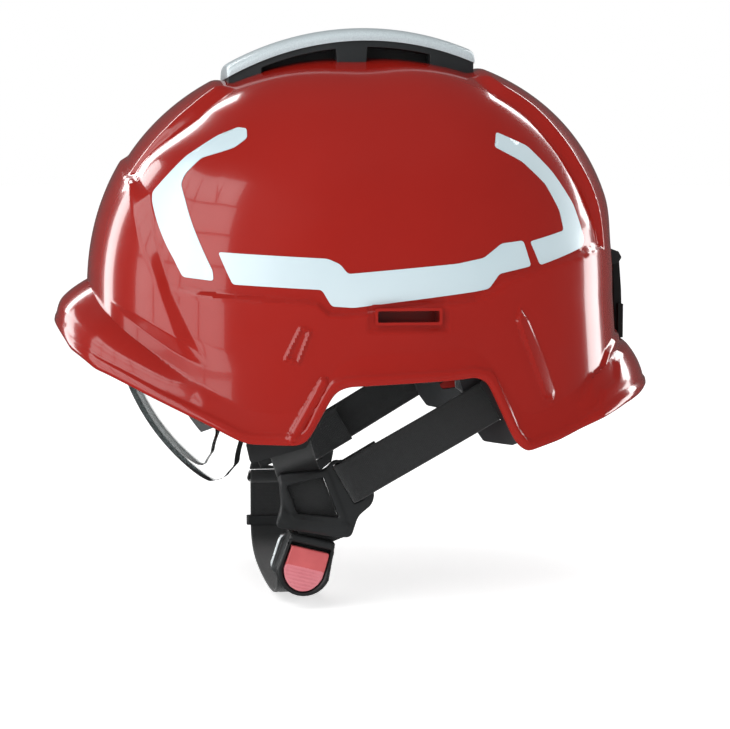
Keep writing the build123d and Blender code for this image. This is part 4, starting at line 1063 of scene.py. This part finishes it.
def soft_pad(node_name, body, anchors):
    """Stuffed pad inflated as cloth from a CAD solid, held along its mounting face."""
    scene = bpy.context.scene
    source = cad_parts[node_name]
    pad = bpy.data.objects.new(f"{node_name}_cover", source.data.copy())
    pad.matrix_world = source.matrix_world.copy()
    scene.collection.objects.link(pad)
    pad.data.materials.clear()
    pad.data.materials.append(knit)
    remesh = pad.modifiers.new("skin", "REMESH")
    remesh.mode = "VOXEL"
    remesh.voxel_size = PAD_VOXEL * MM
    bpy.context.view_layer.objects.active = pad
    bpy.ops.object.modifier_apply(modifier="skin")
    start = read_vertices(pad.data, "co") - read_vertices(pad.data, "normal") * PAD_START_INSET * MM
    pad.data.vertices.foreach_set("co", start.ravel())
    held = pad.vertex_groups.new(name="held")
    held.add([v.index for v in pad.data.vertices if anchors(v.co)], 1.0, "REPLACE")
    cloth = pad.modifiers.new("cloth", "CLOTH")
    cloth.settings.use_pressure = True
    cloth.settings.uniform_pressure_force = PAD_PRESSURE
    cloth.settings.effector_weights.gravity = 0
    cloth.settings.vertex_group_mass = "held"
    cloth.settings.quality = 5
    cloth.point_cache.frame_start, cloth.point_cache.frame_end = 1, PAD_FRAMES
    for number in range(1, PAD_FRAMES + 1):
        scene.frame_set(number)
    bpy.ops.object.modifier_apply(modifier="cloth")
    scene.frame_set(1)
    moved = read_vertices(pad.data, "co") - start
    length = np.maximum(np.linalg.norm(moved, axis=1), 1e-9)[:, None]
    limited = start + moved * np.minimum(1, PAD_MAX_MOVE * MM / length)
    pad.data.vertices.foreach_set("co", limited.ravel())
    smooth = pad.modifiers.new("smooth", "SUBSURF")
    smooth.levels = smooth.render_levels = 1
    bpy.ops.object.modifier_apply(modifier="smooth")
    pad.data.shade_smooth()
    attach(pad, body)
    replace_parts(pad, node_name)


soft_pad("brow_pad", "helmet", lambda co: co.y > -0.05 and abs(co.x) > 0.04)
soft_pad("crown_pad", "helmet", lambda co: co.z > 0.09)
soft_pad("nape_pad", "nape_unit", lambda co: co.y > 0.095)


# ---------------- finishes of the CAD nodes that stay
FINISHES = {
    foam: [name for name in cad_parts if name.startswith("impact_liner")],
    steel: ["vent_cover_screws", "visor_rivets", "front_anchor_rivets", "rear_clip_pin",
            "knob_screw", "housing_screws"],
    band_plastic: ["headband", "crown_strap_long", "crown_strap_cross", "nape_cradle", "rack_left",
                   "rack_right"],
    black_plastic: ["strap_anchors", "rear_clip_base", "visor_pivot_pins", "visor_arm_left",
                    "visor_arm_right", "front_anchor_left", "front_anchor_right", "rear_strap_anchors",
                    "divider_right",
                    "strap_keeper", "ratchet_housing", "ratchet_cover", "ratchet_pinion"],
    rubber: ["rear_clip_strap", "ratchet_knob"],
}
for material, names in FINISHES.items():
    for name in names:
        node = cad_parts[name]
        node.data.materials.clear()
        node.data.materials.append(material)


# ---------------- floor, light and camera
FLOOR_HALF, FLOOR_GAP, FLOOR_GLOW = 30.0, 0.001, 0.64


def plain_stage():
    """Pale floor just under the chin strap, in metres."""
    low = cad_box[0][2] - FLOOR_GAP
    corners = [(x * FLOOR_HALF, y * FLOOR_HALF, low) for x, y in ((-1, -1), (1, -1), (1, 1), (-1, 1))]
    mesh = bpy.data.meshes.new("floor")
    mesh.from_pydata(corners, [], [(0, 1, 2, 3)])
    mesh.materials.append(finish("floor_white", (0.9, 0.9, 0.9), 0.9, emission_color=(1, 1, 1, 1),
                                 emission_strength=FLOOR_GLOW))
    floor = bpy.data.objects.new("floor", mesh)
    floor.visible_glossy = False
    bpy.context.scene.collection.objects.link(floor)


# Each lamp: the directions that it runs between, its distance, width and power
FILL_LAMPS = {
    "key": ((0.55, -0.75, 0.1), (0.5, -0.45, 0.9), 1.6, 1.6, 13),
    "top": ((0.2, -0.4, 1), (0.2, 0.5, 1), 1.5, 1.4, 5),
}
GLOSS_LAMPS = {
    "brow_strip": ((-0.55, -0.8, -0.15), (-0.5, -0.75, 0.6), 1.2, 0.22, 3.2),
    "rear_strip": ((-0.28, 0.95, -0.45), (-0.28, 0.95, 0.16), 1.2, 0.34, 4.2),
    "front_crown_strip": ((-0.63, -0.70, 0.33), (-0.60, -0.28, 0.76), 1.2, 0.15, 3),
    "rear_crown_strip": ((-0.56, 0.47, 0.68), (-0.37, 0.91, 0.17), 1.2, 0.2, 4.2),
}
LAMP_AIM = Vector((0, 0, 0.03))
WORLD_FILL, WORLD_IN_GLOSS = 0.5, 0.1
WINDOW_POWER, WINDOW_DISTANCE, PANE_WIDTH, PANE_TALL = 0.46, 1.3, 0.295, 11.5
WINDOW_AZIMUTHS, WINDOW_RISES = (41, 27, 13, -1), (-16, -3.5, 9, 21.5, 34)


def soft_light(name, start, end, distance, width, power, mirrored=True):
    """Flat lamp that runs from one direction to another, seen from the helmet, and faces it.

    A mirrored lamp shows in the gloss and adds nothing else; any other lights without showing in the gloss.
    """
    first, last = (Vector(direction).normalized() * distance for direction in (start, end))
    light = bpy.data.lights.new(name, "AREA")
    light.shape = "RECTANGLE"
    light.size, light.size_y = width, (last - first).length
    light.energy = power
    lamp = bpy.data.objects.new(name, light)
    lamp.visible_glossy = mirrored
    lamp.visible_diffuse = not mirrored
    bpy.context.scene.collection.objects.link(lamp)
    back = ((first + last) / 2).normalized()
    along = (last - first).normalized()
    turn = Matrix((along.cross(back), along, back)).transposed()
    lamp.matrix_world = Matrix.Translation(LAMP_AIM + (first + last) / 2) @ turn.to_4x4()


def bearing(azimuth, rise):
    """Direction from the helmet, in radians: from its front round by its left, and up."""
    level = math.cos(rise)
    return Vector((math.sin(azimuth) * level, -math.cos(azimuth) * level, math.sin(rise)))


def pale_world():
    """White behind the helmet, dimmer on it and dimmest in its gloss."""
    world = bpy.data.worlds.new("studio")
    bpy.context.scene.world = world
    world.use_nodes = True
    nodes, links = world.node_tree.nodes, world.node_tree.links
    path = nodes.new("ShaderNodeLightPath")
    seen = nodes.new("ShaderNodeMath")
    seen.operation = "MAXIMUM"
    links.new(path.outputs["Is Camera Ray"], seen.inputs[0])
    links.new(path.outputs["Is Transmission Ray"], seen.inputs[1])
    strength = nodes.new("ShaderNodeMapRange")
    strength.inputs["To Min"].default_value = WORLD_FILL
    strength.inputs["To Max"].default_value = WORLD_IN_GLOSS
    links.new(path.outputs["Is Glossy Ray"], strength.inputs["Value"])
    backdrop = nodes.new("ShaderNodeMix")
    backdrop.inputs["B"].default_value = 1
    links.new(seen.outputs["Value"], backdrop.inputs["Factor"])
    links.new(strength.outputs["Result"], backdrop.inputs["A"])
    nodes["Background"].inputs["Color"].default_value = (1, 1, 1, 1)
    links.new(backdrop.outputs["Result"], nodes["Background"].inputs["Strength"])


def studio():
    """Lamps round the helmet, with a window of separate panes on its left."""
    pale_world()
    for name, lamp in FILL_LAMPS.items():
        soft_light(name, *lamp, mirrored=False)
    for name, lamp in GLOSS_LAMPS.items():
        soft_light(name, *lamp)
    for column, azimuth in enumerate(WINDOW_AZIMUTHS):
        for row, rise in enumerate(WINDOW_RISES):
            low, high = math.radians(rise), math.radians(rise + PANE_TALL)
            ends = [bearing(math.radians(azimuth), angle) for angle in (low, high)]
            width = PANE_WIDTH * math.cos((low + high) / 2)
            soft_light(f"window_{column}_{row}", *ends, WINDOW_DISTANCE, width, WINDOW_POWER)


CAMERA_AZIMUTH, CAMERA_RISE, CAMERA_DISTANCE = math.radians(82), math.radians(5), 1.1
CAMERA_TARGET = Vector((0.0020, 0.0098, -0.0072))
CAMERA_LENS, CAMERA_SENSOR = 108.5, 36


def camera():
    data = bpy.data.cameras.new("camera")
    data.sensor_width = CAMERA_SENSOR
    data.lens = CAMERA_LENS
    eye = bpy.data.objects.new("camera", data)
    bpy.context.scene.collection.objects.link(eye)
    back = bearing(CAMERA_AZIMUTH, CAMERA_RISE)
    eye.location = CAMERA_TARGET + back * CAMERA_DISTANCE
    eye.rotation_euler = (-back).to_track_quat("-Z", "Y").to_euler()
    bpy.context.scene.camera = eye


plain_stage()
studio()
camera()
bpy.context.scene.view_settings.view_transform = "Standard"
